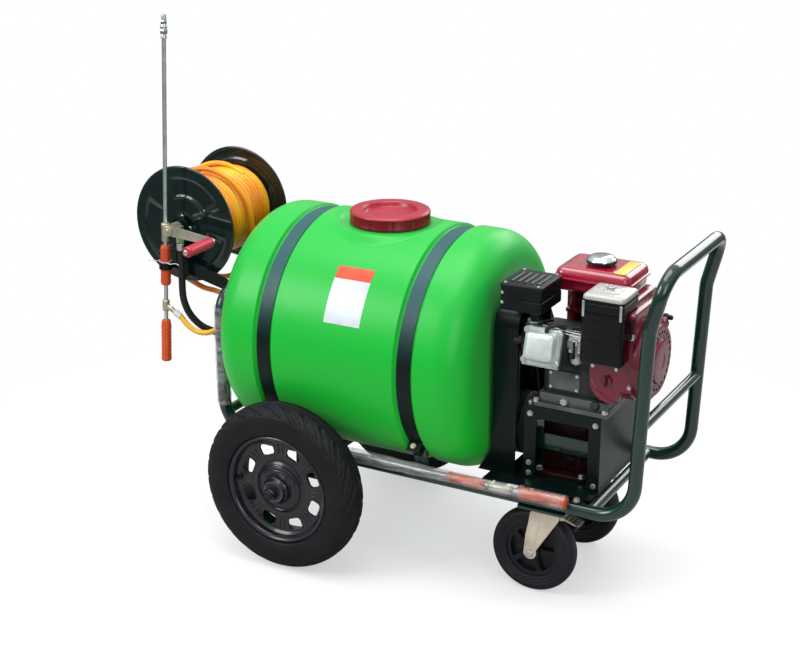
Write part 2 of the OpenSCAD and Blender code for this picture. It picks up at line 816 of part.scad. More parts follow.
// The wound hose, as the solid that it fills
module hose_winding() {
    w = reel_w / 2 - flange_t - 3;
    color(hose_yellow) at_reel() along_y() rotate_extrude() polygon([
        [core_d / 2 + 0.2, -w], [wound_d / 2 - 8, -w], [wound_d / 2, -w + 24],
        [wound_d / 2 - 2, 0], [wound_d / 2 + 1, w - 40], [wound_d / 2 - 9, w], [core_d / 2 + 0.2, w]
    ]);
}

crank_drop = 5;

// Flat crank arm on the end of the reel shaft, with the pin of its grip
module crank_arm() {
    color(zinc) at_reel() translate([0, -arm_y, 0]) rotate([0, crank_drop, 0]) difference() {
        union() {
            along_near() linear_extrude(arm_t) {
                circle(13);
                translate([crank_len, 0]) circle(9);
                polygon([[0, 12], [crank_len, 8.5], [crank_len, -8.5], [0, -12]]);
            }
            translate([0, 4, 0]) along_near() cylinder(h = 18, r = 13);
            translate([crank_len, 0, 0]) along_near() cylinder(h = grip_len + arm_t + 5, d = 8);
            translate([crank_len, -grip_len - arm_t - 1, 0]) along_near() cylinder(h = 4, d = 13);
        }
        translate([0, 10, 0]) along_near() cylinder(h = 40, d = shaft_d);
    }
}

// Loose grip that turns on the crank's pin
module crank_grip() {
    color(engine_red) at_reel() translate([0, -arm_y, 0]) rotate([0, crank_drop, 0])
        translate([crank_len, -arm_t - gap, 0]) along_near() difference() {
            union() {
                cylinder(h = grip_len, d = grip_d - 3);
                translate([0, 0, 4]) cylinder(h = grip_len - 8, d = grip_d);
            }
            translate([0, 0, -1]) cylinder(h = grip_len + 2, d = 8 + 2 * run_fit);
        }
}

swivel_y = bracket_y + 21;
swivel_r = 14;

// Rotary inlet on the reel shaft, with its elbow down to the pressure hose
module reel_swivel() {
    color(zinc) at_reel() difference() {
        union() {
            translate([0, -swivel_y - 13, 0]) along_y() cylinder(h = 26, r = swivel_r);
            translate([15, -swivel_y, -30]) cylinder(h = 30, r = 7);
            translate([15, -swivel_y, -34]) hex(19, 12);
            translate([0, -swivel_y - 8, -8]) cube([22, 16, 15]);
        }
        translate([0, -swivel_y - 30, 0]) along_y() cylinder(h = 60, d = shaft_d + 2 * run_fit);
    }
}

// ---- lance --------------------------------------------------------------------------------

lance_foot = [-447, -lance_y, 402];
knob_len = 112;

module at_lance(up) {
    at(lance_foot.x, lance_foot.y, lance_foot.z) rotate([0, lance_lean, 0])
        translate([0, 0, up]) children();
}

// Tube, nozzle, valve body, upper grip and hose branch of the spray lance
module lance_tube() {
    color(steel) {
        at_lance(knob_len - 30) cylinder(h = lance_len - knob_len - 20, d = lance_tube_d);
        at_lance(lance_len - 58) cylinder(h = 40, d = 15);
        at_lance(lance_len - 20) cylinder(h = 20, d = 12);
        at_lance(322) cylinder(h = 46, d = 20);
        at_lance(358) cylinder(h = 14, d = 24);
        at_lance(208) cylinder(h = 104, d = lance_grip_d - 3);
        at_lance(214) cylinder(h = 92, d = lance_grip_d);
        at_lance(140) cylinder(h = 24, d = 19);
        at_lance(152) rotate([0, 116, 0]) cylinder(h = 30, d = 14);
    }
}

// Lower grip, which is turned to set the spray
module lance_knob() {
    color(grip_orange) at_lance(0) difference() {
        union() {
            cylinder(h = knob_len, d = lance_grip_d - 3);
            translate([0, 0, 5]) cylinder(h = knob_len - 14, d = lance_grip_d);
        }
        translate([0, 0, knob_len - 32]) cylinder(h = 60, d = lance_tube_d + 2 * run_fit);
    }
}

spare_r = lance_tube_d / 2;
spare_at = [0, -rail_y - 23, rail_z + 21];

// Second lance, tied along the near rail
module spare_lance() {
    color(steel) at(spare_at.x, spare_at.y, spare_at.z) {
        translate([118, 0, 0]) along_x() cylinder(h = 520, r = spare_r);
        translate([392, 0, 0]) along_x() cylinder(h = 96, d = 24);
        translate([500, 0, 0]) along_x() cylinder(h = 60, d = 20);
        translate([576, 0, 0]) along_x() cylinder(h = 118, d = lance_grip_d);
        translate([585, 0, 0]) along_x() cylinder(h = 100, d = lance_grip_d + 0.6);
    }
}

// ---- stand, guard and pump ----------------------------------------------------------------

top_plate_t = 6;

// Angle iron from point a, l long; the two legs point along sx and sy
module angle_post(x, y, sx, sy, z, l) {
    translate([x, y, z]) {
        for (leg = [[angle_w, angle_t], [angle_t, angle_w]])
            span([min(0, sx * leg.x), min(0, sy * leg.y), 0], [max(0, sx * leg.x), max(0, sy * leg.y), l]);
    }
}

// Welded stand: four angle legs, top plate with its rails, rear sheet and two floor bars
module engine_stand() {
    w = stand_w / 2;
    color(frame_green) at(stand_x, 0, stand_z) {
        for (sy = [-1, 1]) {
            angle_post(0, sy * w, 1, -sy, 0, stand_h);
            angle_post(stand_l, sy * w, -1, -sy, 0, stand_h);
            span([0, sy * w - (sy > 0 ? angle_w : 0), 0],
                 [stand_l, sy * w + (sy > 0 ? 0 : angle_w), angle_t]);
            span([0, sy * w - (sy > 0 ? angle_t : 0), stand_h - angle_w],
                 [stand_l, sy * w + (sy > 0 ? 0 : angle_t), stand_h]);
        }
        span([0, -w, stand_h - top_plate_t], [stand_l, w, stand_h]);
        span([stand_l - 2, -w, 0], [stand_l, w, stand_h]);
        for (x = [14, stand_l - 40]) span([x, -rail_y - 8, 0], [x + 26, rail_y + 8, angle_t]);
    }
}

guard_x = stand_x - 80;
guard_l = 60;
guard_half = 95;
guard_y = -34;
guard_top = crank_z + 92;

// Sheet cover over the belts, open towards the engine, with a foot on the near rail and a gusset
module belt_guard() {
    r = 46;
    module shape(inset) {
        translate([-guard_half + inset, inset])
            square([2 * (guard_half - inset), guard_top - rail_top - r - inset]);
        translate([-guard_half + r, 0])
            square([2 * (guard_half - r), guard_top - rail_top - inset]);
        for (s = [-1, 1]) translate([s * (guard_half - r), guard_top - rail_top - r]) circle(r - inset);
    }
    color(frame_green) at(guard_x, guard_y, rail_top) difference() {
        rotate([90, 0, 90]) linear_extrude(guard_l) shape(0);
        translate([2, 0, 0]) rotate([90, 0, 90]) linear_extrude(guard_l) shape(2);
    }
    color(frame_green) {
        at(guard_x, 0, rail_top) span([0, -rail_y - 6, 0], [26, guard_y - guard_half + 4, angle_t]);
        at(guard_x, guard_y - guard_half + 3.5, rail_top) along_near() linear_extrude(3)
            polygon([[-36, 0], [1, 0], [1, 60]]);
    }
}

belt_x = guard_x + 18;
pulley_w = 32;
pump_x = stand_x + 20;
pump_y = -20;
belt_t = 10;
belt_lift = 1.5;

// Two V-belts round both pulleys
module drive_belts() {
    module loop(extra) {
        hull() {
            translate([crank_y, crank_z]) circle(r = drive_d / 2 - belt_t + belt_lift + extra, $fn = 40);
            translate([pump_y, pump_z]) circle(r = driven_d / 2 - belt_t + belt_lift + extra, $fn = 56);
        }
    }
    color(rubber_black) at() for (x = [belt_x + 3.5, belt_x + 18.5]) translate([x, 0, 0])
        rotate([90, 0, 90]) linear_extrude(10) difference() {
            loop(belt_t - 1);
            loop(0);
        }
}

// A two-groove pulley on a stub shaft that runs from x = 0 to x = shaft_l
module pulley(d, bore_d, shaft_l) {
    along_x() difference() {
        union() {
            cylinder(h = pulley_w, d = d);
            translate([0, 0, -2]) cylinder(h = shaft_l + 2, d = bore_d);
            cylinder(h = pulley_w + 6, d = bore_d + 20);
        }
        for (z = [2.5, 17.5]) translate([0, 0, z]) difference() {
            cylinder(h = 12, d = d + 2);
            translate([0, 0, -1]) cylinder(h = 14, d = d - 2 * belt_t);
        }
    }
}

module crank_pulley() {
    color(steel) at(belt_x, crank_y, crank_z) pulley(drive_d, crank_d, block_x0 + 12 - belt_x);
}

module pump_pulley() {
    color(steel) at(belt_x, pump_y, pump_z) pulley(driven_d, 20, pump_x + 12 - belt_x);
}

pump_foot = stand_z + angle_t;

// Crankcase of the three-plunger pump, bolted to the floor bars of the stand
module pump_body() {
    l = 118;
    color([0.45, 0.06, 0.06]) at(pump_x, pump_y, 0) difference() {
        union() {
            span([0, -46, pump_foot + 8], [l, 40, pump_z + 34]);
            span([-4, -78, pump_foot], [l + 6, 78, pump_foot + 10]);
            translate([0, 0, pump_z]) along_x() cylinder(h = l, r = 46);
            for (i = [0 : 2]) translate([24 + 35 * i, 38, pump_z + 4]) along_y() cylinder(h = 22, r = 15);
            translate([l / 2, -20, pump_z + 30]) cylinder(h = 22, r = 11);
        }
        translate([-1, 0, pump_z]) along_x() cylinder(h = 16, d = 20 + 2 * run_fit);
        for (sx = [6, l - 6], sy = [-68, 68]) translate([sx, sy, pump_foot - 1]) cylinder(h = 20, d = 9);
    }
}

manifold_y = pump_y + 60;
feed_port = [pump_x + 100, manifold_y + 46, pump_z - 18];
suction_port = [pump_x + 2, manifold_y + 13, pump_z - 22];
return_port = [pump_x + 84, manifold_y + 26, pump_z + 28];
knob_at = [pump_x + 92, manifold_y + 8, pump_z + 40];
valve_at = [pump_x + 100, manifold_y + 34, pump_z - 18];
gauge_at = [pump_x + 57, manifold_y + 14, pump_z + 30];

// Valve block with air chamber, regulator and outlet cock
module pump_manifold() {
    color(alloy) at() difference() {
        union() {
            translate([pump_x + 10, manifold_y, 0]) span([0, 0, pump_z - 30], [100, 26, pump_z + 30]);
            translate([pump_x + 18, manifold_y + 13, pump_z + 20]) cylinder(h = 24, r = 10);
            translate([pump_x + 18, manifold_y + 13, pump_z + 58]) sphere(r = 18.4);
            translate([knob_at.x - 14, manifold_y - 6, pump_z + 24]) cube([28, 28, 17 - gap]);
            translate([feed_port.x, feed_port.y - 26, feed_port.z])
                along_y() cylinder(h = 26, r = feed_d / 2);
            translate([valve_at.x, manifold_y + 28, valve_at.z]) along_y() hex(22, 12);
            translate(suction_port) along_x() cylinder(h = 12, r = 10);
            translate([return_port.x, return_port.y - 8, return_port.z]) along_y() cylinder(h = 8, r = 6);
        }
        translate([knob_at.x, knob_at.y, knob_at.z - 14]) cylinder(h = 40, d = 10 + 2 * run_fit);
        translate([valve_at.x, valve_at.y, valve_at.z + 6]) cylinder(h = 40, d = 6 + 2 * run_fit);
    }
}

// Dial gauge on the valve block, facing the open near side of the stand
module pressure_gauge() {
    color(steel) at(gauge_at.x, gauge_at.y, gauge_at.z) {
        cylinder(h = 14, r = 5);
        translate([0, 4, 32]) along_near() difference() {
            cylinder(h = 22, r = 20);
            translate([0, 0, 19]) cylinder(h = 5, r = 17);
        }
    }
}

// Hand screw that sets the pressure
module pressure_knob() {
    color(engine_red) at(knob_at.x, knob_at.y, knob_at.z) difference() {
        union() {
            translate([0, 0, -13]) cylinder(h = 20, d = 10);
            translate([0, 0, 2]) cylinder(h = 18, r = 13);
        }
        for (i = [0 : 7]) rotate([0, 0, i * 45]) translate([14.5, 0, 0]) cylinder(h = 40, r = 3);
    }
}

// Quarter-turn lever of the outlet cock
module valve_lever() {
    color(engine_red) at(valve_at.x, valve_at.y, valve_at.z) {
        translate([0, 0, 7]) cylinder(h = 12, d = 6);
        translate([0, 0, 14]) cylinder(h = 4, r = 8);
        translate([0, -5, 14]) cube([44, 10, 4]);
    }
}

// ---- engine -------------------------------------------------------------------------------

block_x0 = stand_x + 20;
block_x1 = block_x0 + 204;
case_r = 58;
base_z = stand_top;
tilt = 15;
bore_x = block_x0 + 40;
carb_x = bore_x + 64;
cowl_x = block_x1 + 2;
recoil_x = cowl_x + 34;
cowl_r = 98;
cowl_front = -128;

module at_crank(x = 0) {
    at(x, crank_y, crank_z) children();
}

// Turns a piece that stands along +Z so that it points along the tilted cylinder
module along_bore() { rotate([90 - tilt, 0, 0]) children(); }

// Crankcase, base and finned cylinder
module engine_block() {
    fin_count = 7;
    color(alloy) difference() {
        union() {
            at(0, crank_y, base_z) {
                span([block_x0 - 2, -76, 0], [block_x1 - 22, 98, 12]);
                span([block_x0 + 8, -66, 0], [block_x1 - 28, 88, 34]);
                span([block_x0 + 12, -54, 20], [block_x1 - 34, 70, crank_h + 20]);
            }
            at_crank(block_x0) along_x() cylinder(h = block_x1 - block_x0, r = case_r);
            at_crank(block_x0 - 12) along_x() cylinder(h = 20, r = 28);
            at_crank(bore_x) along_bore() translate([-36, -36, 0]) cube([72, 72, 122]);
            for (i = [0 : fin_count - 1]) at_crank(bore_x) along_bore()
                translate([-46, -46, 64 + i * 9]) cube([92, 92, 3]);
            at_crank(bore_x) along_bore() translate([-44, -43, 120]) cube([88, 86, 12]);
        }
        at_crank(block_x0 - 20) along_x() cylinder(h = 33, d = crank_d + 2 * run_fit);
        for (sx = [block_x0 + 6, block_x1 - 30], sy = [-71, 93])
            at(sx, crank_y + sy, base_z - 1) cylinder(h = 20, d = 8.5);
    }
}

// Pressed valve cover with its flange and four bolts
module valve_cover() {
    color(alloy) at_crank(bore_x) along_bore() translate([0, 0, 132]) {
        plate(92, 84, 4, 12);
        translate([0, 0, 4]) plate(76, 68, 18, 12);
        translate([0, 0, 20]) plate(66, 58, 6, 12);
        for (sx = [-38, 38], sy = [-34, 34]) translate([sx, sy, 3]) hex(10, 6);
    }
}

muffler_box = [[bore_x - 104, crank_y - 138, crank_z + 109], [bore_x, crank_y - 14, crank_z + 172]];

// Boxed muffler with its guard and header pipe
module muffler() {
    a = muffler_box[0];
    b = muffler_box[1];
    color(plastic_black) at() {
        translate([(a.x + b.x) / 2, (a.y + b.y) / 2, a.z]) plate(b.x - a.x, b.y - a.y, b.z - a.z, 10);
        for (i = [0 : 4]) translate([a.x + 16 + 16 * i, a.y + 22, b.z - 1]) cube([9, 80, 3]);
        translate([b.x - 40, a.y + 52, a.z - 32]) cylinder(h = 34, r = 12);
        translate([a.x - 6, a.y + 34, a.z + 34]) along_x() cylinder(h = 10, r = 11);
    }
}

cleaner_box = [[carb_x + 20, crank_y - 115, crank_z + 10], [carb_x + 120, crank_y - 14, crank_z + 170]];
cleaner_step = crank_z + 128;

// Carburetor between the cylinder and the air cleaner
module carburetor() {
    a = cleaner_box[0];
    color(alloy) at() {
        span([carb_x - 16, a.y + 15, a.z + 8], [a.x - gap, a.y + 57, a.z + 48]);
        translate([carb_x, a.y + 36, a.z - 16]) cylinder(h = 26, r = 15);
        translate([carb_x, a.y + 36, a.z - 22]) cylinder(h = 8, r = 9);
    }
}

// Air cleaner with its cover and wing nut; its lower half stands before the crankcase
module air_cleaner() {
    a = cleaner_box[0];
    b = cleaner_box[1];
    m = (a + b) / 2;
    color(plastic_black) at() {
        translate([m.x, a.y + 17, a.z]) plate(b.x - a.x, 34, cleaner_step - a.z + 1, 10);
        translate([m.x, m.y, cleaner_step]) plate(b.x - a.x, b.y - a.y, b.z - cleaner_step - 12, 10);
        translate([m.x, m.y, b.z - 13]) plate(b.x - a.x - 8, b.y - a.y - 8, 13, 10);
        translate([m.x, m.y, b.z - 1]) cylinder(h = 14, r = 4);
        translate([m.x - 13, m.y - 2, b.z + 2]) cube([26, 4, 11]);
    }
}

fuel_box = [[block_x0 + 5, crank_y - 10, crank_z + 128], [block_x0 + 198, crank_y + 144, crank_z + 184]];
cap_at = [block_x0 + 100, crank_y + 64, fuel_box[1].z];

// Fuel tank in two pressed halves with a seam flange
module fuel_tank() {
    a = fuel_box[0];
    b = fuel_box[1];
    m = (a + b) / 2;
    color(engine_red) at() difference() {
        union() {
            translate([m.x, m.y, a.z]) plate(b.x - a.x - 16, b.y - a.y - 16, 34, 22);
            translate([m.x, m.y, b.z - 26]) plate(b.x - a.x, b.y - a.y, 4, 26);
            translate([m.x, m.y, b.z - 24]) plate(b.x - a.x - 8, b.y - a.y - 8, 18, 24);
            translate([m.x, m.y, b.z - 8]) plate(b.x - a.x - 20, b.y - a.y - 20, 8, 20);
            translate([cap_at.x, cap_at.y, b.z - 2]) cylinder(h = 7, r = 24);
            for (sx = [-60, 60]) translate([m.x + sx - 8, m.y - 30, crank_z + 12])
                cube([16, 60, a.z - crank_z - 10]);
        }
        translate([m.x, m.y, a.z + 3]) plate(b.x - a.x - 22, b.y - a.y - 22, b.z - a.z - 8, 18);
        translate([cap_at.x, cap_at.y, b.z - 20]) cylinder(h = 40, r = 20);
        crankcase_top();
    }
}

// What the fuel tank's two feet stand on
module crankcase_top() {
    translate([block_x0, crank_y, crank_z]) along_x() cylinder(h = block_x1 - block_x0, r = case_r + weld);
    translate([block_x0, crank_y - 54, crank_z - 20]) cube([block_x1 - block_x0, 124, 40]);
}

// Quarter-turn fuel cap
module fuel_cap() {
    color(steel) at(cap_at.x, cap_at.y, cap_at.z) {
        translate([0, 0, -6]) cylinder(h = 12, r = 19.6);
        translate([0, 0, 5 + gap]) cylinder(h = 12, r = 35);
        translate([0, 0, 14]) cylinder(h = 7, r = 29);
    }
}

// Fan cowl with a flat front, and the scoop that leads cooling air over the cylinder
module blower_housing() {
    l = recoil_x - cowl_x;
    color(engine_red) difference() {
        union() {
            difference() {
                at_crank(cowl_x) along_x() cylinder(h = l, r = cowl_r);
                at(cowl_x - 1, cowl_front - 100, crank_z - 200) cube([l + 2, 100, 400]);
            }
            at(cowl_x, cowl_front, crank_z) cube([l, 160, 126]);
            at(cowl_x - 72, cowl_front + 2, crank_z - 66) cube([74, 16, 62]);
        }
        at_crank(cowl_x + 3) along_x() cylinder(h = l - 6, r = cowl_r - 26);
        at_crank(recoil_x - 10) along_x() cylinder(h = 20, r = 60);
        at_crank(cowl_x - 1) along_x() cylinder(h = 10, r = 12);
    }
}

slot_count = 24;
rope_angle = 128;

// Perforated recoil starter cover
module recoil_cover() {
    r = recoil_d / 2;
    color(engine_red) at_crank(recoil_x + gap) along_x() difference() {
        union() {
            cylinder(h = 20, r = r);
            cylinder(h = 32, r = r - 12);
            cylinder(h = 38, r = r - 44);
            rotate([0, 0, rope_angle]) translate([r - 11, -14, 1]) cube([27, 28, 18]);
        }
        translate([0, 0, -1]) cylinder(h = 18, r = r - 6);
        translate([0, 0, -1]) cylinder(h = 30, r = r - 16);
        for (ring = [0, 1], i = [0 : slot_count - 1]) rotate([0, 0, (i + ring / 2) * 360 / slot_count])
            translate([r - 24 - ring * 14, 0, 10]) cylinder(h = 40, d = 8 - ring * 1.5);
        at_grip_rope() cylinder(h = 80, d = 8, center = true);
    }
}

// Along the starter rope, inside the recoil cover's own frame
module at_grip_rope() {
    rotate([0, 0, rope_angle]) translate([recoil_d / 2 - 6, 0, 10]) rotate([0, 90, 0]) children();
}

// Pull grip of the recoil starter with the first stretch of its rope
module starter_grip() {
    color(plastic_black) at_crank(recoil_x + gap) along_x() at_grip_rope() {
        translate([0, 0, -6]) cylinder(h = 30, d = 5);
        translate([-17, -6, 23]) cube([34, 12, 12]);
        translate([0, 0, 22.5]) cylinder(h = 13, d = 14);
    }
}

// Levers and switch on the near side of the engine
module throttle_lever() {
    color(plastic_black) at(recoil_x - 8, cowl_front - gap, crank_z + 74) {
        along_near() cylinder(h = 4, r = 8);
        translate([-3, -7, 0]) cube([6, 4, 34]);
        translate([-5, -13, 28]) cube([10, 9, 12]);
    }
}

module choke_lever() {
    color(plastic_black) at(carb_x + 4, cleaner_box[0].y + 15 - gap, cleaner_box[0].z + 36) {
        along_near() cylinder(h = 4, r = 7);
        translate([-2.5, -7, -28]) cube([5, 3, 28]);
        translate([-4, -10, -36]) cube([8, 6, 12]);
    }
}

module engine_switch() {
    color(engine_red) at(cowl_x - 28, cowl_front + 2 - gap, crank_z - 40) {
        along_near() cylinder(h = 6, r = 13);
        translate([-3, -14, -11]) cube([6, 9, 22]);
    }
}

// ---- hoses --------------------------------------------------------------------------------

drain_y = 96;
drain_z = tank_low + 82;
drain_d = 20;

feed_points = [
    [-reel_x + 15, -swivel_y, reel_z - 34 - gap], [-reel_x + 15, -swivel_y, reel_z - 82],
    [-386, -166, reel_z - 132], [-384, -166, 580],
    [-374, -156, 538], [-352, -140, 505], [-322, -122, 487], [-284, -104, 468], [-262, -70, 444],
    [-256, -20, 404], [-262, 50, 356], [-268, 90, 322], [-268, 116, 296], [-258, 138, 272],
    [-232, 150, 256], [-190, 154, 252], [-100, 154, 252], [150, 154, 252], [stand_x - 146, 154, 252],
    [stand_x - 86, 154, 272], [stand_x - 26, 154, 298], [stand_x + 50, 152, 322],
    feed_port + [-22, 56, -12], feed_port + [-3, 36, -2], feed_port + [0, 14, 0], feed_port + [0, gap, 0]
];
suction_points = [
    [tank_end + gap, drain_y, drain_z], [tank_end + 14, drain_y, drain_z], [stand_x - 54, 94, 323],
    [stand_x - 26, 83, 332], suction_port - [25, -11, 4], suction_port - [11, 0, 0], suction_port - [gap, 0, 0]
];
return_points = [
    return_port + [0, gap, 0], return_port + [0, 14, 0],
    [stand_x + 96, 112, 400], [stand_x + 58, 142, 414], [stand_x + 4, 160, 460],
    [stand_x - 46, 160, 540], [stand_x - 64, 132, tank_z + 92], [tank_end + 13, 120, tank_z + 110],
    [tank_end + gap, 120, tank_z + 110]
];
// Tail of the spray hose, from the lance to the slack turn round the reel
tail_points = [
    [-413, -166, 539.1], [-396, -166, 529.8], [-372, -166, 508], [-342, -164, 496],
    [-308, -160, 501], [-282, -152, 522], [-276, -134, 556], [-294, -108, 584], [-340, -84, 583]
];
slack_steps = 12;
slack_turns = 1.6;
slack_r = 121.5;
slack_sag = 56;

// The slack turn hangs below the reel; a is the angle from straight down
function slack(a) = let (r = slack_r + slack_sag * pow(max(0, cos(a)), 2))
    [-reel_x - r * sin(a), -70 + 140 * a / 360 / slack_turns, reel_z - r * cos(a)];

spray_points = concat(tail_points, [
    for (i = [0 : slack_steps * slack_turns]) slack(i * 360 / slack_steps)
]);

module pump_hoses() {
    color(rubber_black) at() {
        hose(curve(feed_points, 2), feed_d, [0.6, -0.5, 0.62], [0, 0, -1], [0, -1, 0]);
        hose(curve(suction_points, 2), 22, [0, 0, 1], [1, 0, 0], [1, 0, 0]);
        hose(curve(return_points, 2), 13, [0.5, 0.7, 0.2], [0, 1, 0], [-1, 0, 0]);
    }
}

module spray_hose() {
    last = len(spray_points) - 1;
    color(hose_yellow) at() hose(curve(spray_points, 2), spray_d, [0.15, 1, 0.1],
        unit(spray_points[1] - spray_points[0]), unit(spray_points[last] - spray_points[last - 1]));
}

// ---- nodes --------------------------------------------------------------------------------

side_tube(false);  // side_tube_near
side_tube(true);  // side_tube_far
push_bar();
cross_tubes();
axle();
axle_brackets();
tank_saddles();
tank_shell();
strap_bands();
strap_bolts();
tank_lid();
filler_strainer();
tyre(false);  // tyre_near
tyre(true);  // tyre_far
rim(false);  // rim_near
rim(true);  // rim_far
wheel_bearings();
axle_nuts();
caster_beam();
caster_plates();
caster_fork(false);  // caster_fork_near
caster_fork(true);  // caster_fork_far
caster_wheel(false);  // caster_wheel_near
caster_wheel(true);  // caster_wheel_far
caster_brake(false);  // caster_brake_near
caster_brake(true);  // caster_brake_far
engine_stand();
belt_guard();
pump_body();
pump_manifold();
pressure_gauge();
pump_pulley();
drive_belts();
pressure_knob();
valve_lever();
engine_block();
valve_cover();
muffler();
carburetor();
air_cleaner();
fuel_tank();
fuel_cap();
blower_housing();
recoil_cover();
starter_grip();
crank_pulley();
throttle_lever();
choke_lever();
engine_switch();
reel_brackets();
reel_drum();
hose_winding();
crank_arm();
crank_grip();
reel_swivel();
lance_tube();
lance_knob();
spare_lance();
pump_hoses();
spray_hose();
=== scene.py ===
"""Looks of a wheeled sprayer cart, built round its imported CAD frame."""
from itertools import product
from math import cos, pi, radians, sin, sqrt

import bmesh
import bpy
from mathutils import Matrix, Vector, noise


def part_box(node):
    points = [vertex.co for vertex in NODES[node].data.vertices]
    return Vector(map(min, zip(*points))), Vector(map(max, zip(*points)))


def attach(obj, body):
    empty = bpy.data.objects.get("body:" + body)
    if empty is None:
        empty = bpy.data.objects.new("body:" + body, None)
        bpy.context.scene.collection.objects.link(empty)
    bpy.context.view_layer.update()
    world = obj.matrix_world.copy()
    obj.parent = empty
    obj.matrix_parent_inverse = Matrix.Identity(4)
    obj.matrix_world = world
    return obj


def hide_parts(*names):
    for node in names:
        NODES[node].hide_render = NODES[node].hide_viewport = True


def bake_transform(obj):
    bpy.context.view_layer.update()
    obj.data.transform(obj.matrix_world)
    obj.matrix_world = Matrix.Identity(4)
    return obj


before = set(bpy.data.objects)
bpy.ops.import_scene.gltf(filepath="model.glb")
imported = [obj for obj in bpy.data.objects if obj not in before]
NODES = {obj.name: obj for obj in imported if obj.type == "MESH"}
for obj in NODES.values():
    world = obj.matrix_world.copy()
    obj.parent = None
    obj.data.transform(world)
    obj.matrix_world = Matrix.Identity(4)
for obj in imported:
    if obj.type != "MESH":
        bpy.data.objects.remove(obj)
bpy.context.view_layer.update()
lo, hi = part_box("axle")
AX = (lo[0] + hi[0]) / 2          # the main axle in the row frame, metres

# Directions of the cart: front is the reel's end, near is the side that the camera sees
FRONT, BACK, NEAR, FAR = (-1, 0, 0), (1, 0, 0), (0, -1, 0), (0, 1, 0)
DOWN, UP = (0, 0, -1), (0, 0, 1)


def mm(x, y, z):
    """A point given in millimetres from the main axle (x) and the floor (z)."""
    return Vector((x / 1000 + AX, y / 1000, z / 1000))


def cosd(a):
    """Cosine of an angle in degrees; sind is its sine."""
    return cos(radians(a))


def sind(a):
    return sin(radians(a))


def around(n):
    """Angles of n even steps round a circle."""
    return [2 * pi * k / n for k in range(n)]


def turn(a, axis="Z"):
    """Rotation by an angle in radians round an axis of its own frame."""
    return Matrix.Rotation(a, 4, axis)


def point_at(o, direction):
    o.rotation_mode = "QUATERNION"
    o.rotation_quaternion = direction.to_track_quat("-Z", "Y")


def add_node(tree, kind, **values):
    """Adds a shader node; a value is one of its properties, or what one of its inputs holds."""
    n = tree.nodes.new(kind)
    for k, v in values.items():
        if k in n.bl_rna.properties:
            setattr(n, k, v)
        else:
            n.inputs[k.replace("_", " ")].default_value = v
    return n


# ---- camera -------------------------------------------------------------------------------
CAM_AZ, CAM_EL, CAM_D = 28.52, 19.29, 3.94678
back = Vector((sind(CAM_AZ) * cosd(CAM_EL), -cosd(CAM_AZ) * cosd(CAM_EL), sind(CAM_EL)))
scene = bpy.context.scene
cam = bpy.data.objects.new("camera", bpy.data.cameras.new("camera"))
scene.collection.objects.link(cam)
cam.location = mm(148.92, 0, 565.77) + back * CAM_D
point_at(cam, -back)
cam.data.lens = 71.95
cam.data.sensor_width = 36
cam.data.shift_y = -0.01145
cam.data.clip_end = 60
scene.camera = cam

# ---- light --------------------------------------------------------------------------------
scene.view_settings.view_transform = "Standard"
scene.view_settings.look = "None"
scene.world = bpy.data.worlds.new("studio")
scene.world.use_nodes = True
studio = scene.world.node_tree
studio.nodes.clear()
w_out = add_node(studio, "ShaderNodeOutputWorld")
w_mix = add_node(studio, "ShaderNodeMixShader")
w_soft = add_node(studio, "ShaderNodeBackground", Color=(0.95, 0.98, 1.0, 1))
w_white = add_node(studio, "ShaderNodeBackground", Color=(1, 1, 1, 1), Strength=1.0)
w_dir = add_node(studio, "ShaderNodeTexCoord")
w_sep = add_node(studio, "ShaderNodeSeparateXYZ")
w_sky = add_node(studio, "ShaderNodeMapRange", From_Min=-0.1, From_Max=0.9, To_Min=0.16, To_Max=1.05)
w_path = add_node(studio, "ShaderNodeLightPath")
w_max = add_node(studio, "ShaderNodeMath", operation="MAXIMUM")
for start, end in ((w_dir.outputs["Generated"], w_sep.inputs[0]), (w_sep.outputs["Z"],
        w_sky.inputs["Value"]), (w_sky.outputs[0], w_soft.inputs["Strength"]),
        (w_path.outputs["Is Camera Ray"], w_max.inputs[0]), (w_path.outputs["Is Transmission Ray"],
        w_max.inputs[1]), (w_max.outputs[0], w_mix.inputs[0]), (w_soft.outputs[0], w_mix.inputs[1]),
        (w_white.outputs[0], w_mix.inputs[2]), (w_mix.outputs[0], w_out.inputs[0])):
    studio.links.new(start, end)

for name, at, to, size, size_y, power in (("top", (-0.1, -0.2, 3.4), (0, 0, 0.5), 2.6, 2.2, 70),
                                          ("key", (-2.2, -2.6, 2.6), (0, 0, 0.5), 1.6, 1.6, 62),
                                          ("fill", (2.6, -2.2, 1.7), (0.1, 0, 0.5), 1.4, 1.8, 24),
                                          ("rim", (0.6, 3.0, 2.2), (0, 0, 0.6), 2.4, 1.2, 34)):
    light = bpy.data.lights.new(name, "AREA")
    light.shape, light.size, light.size_y, light.energy = "RECTANGLE", size, size_y, power
    o = bpy.data.objects.new(name, light)
    scene.collection.objects.link(o)
    o.location = at
    point_at(o, Vector(to) - Vector(at))


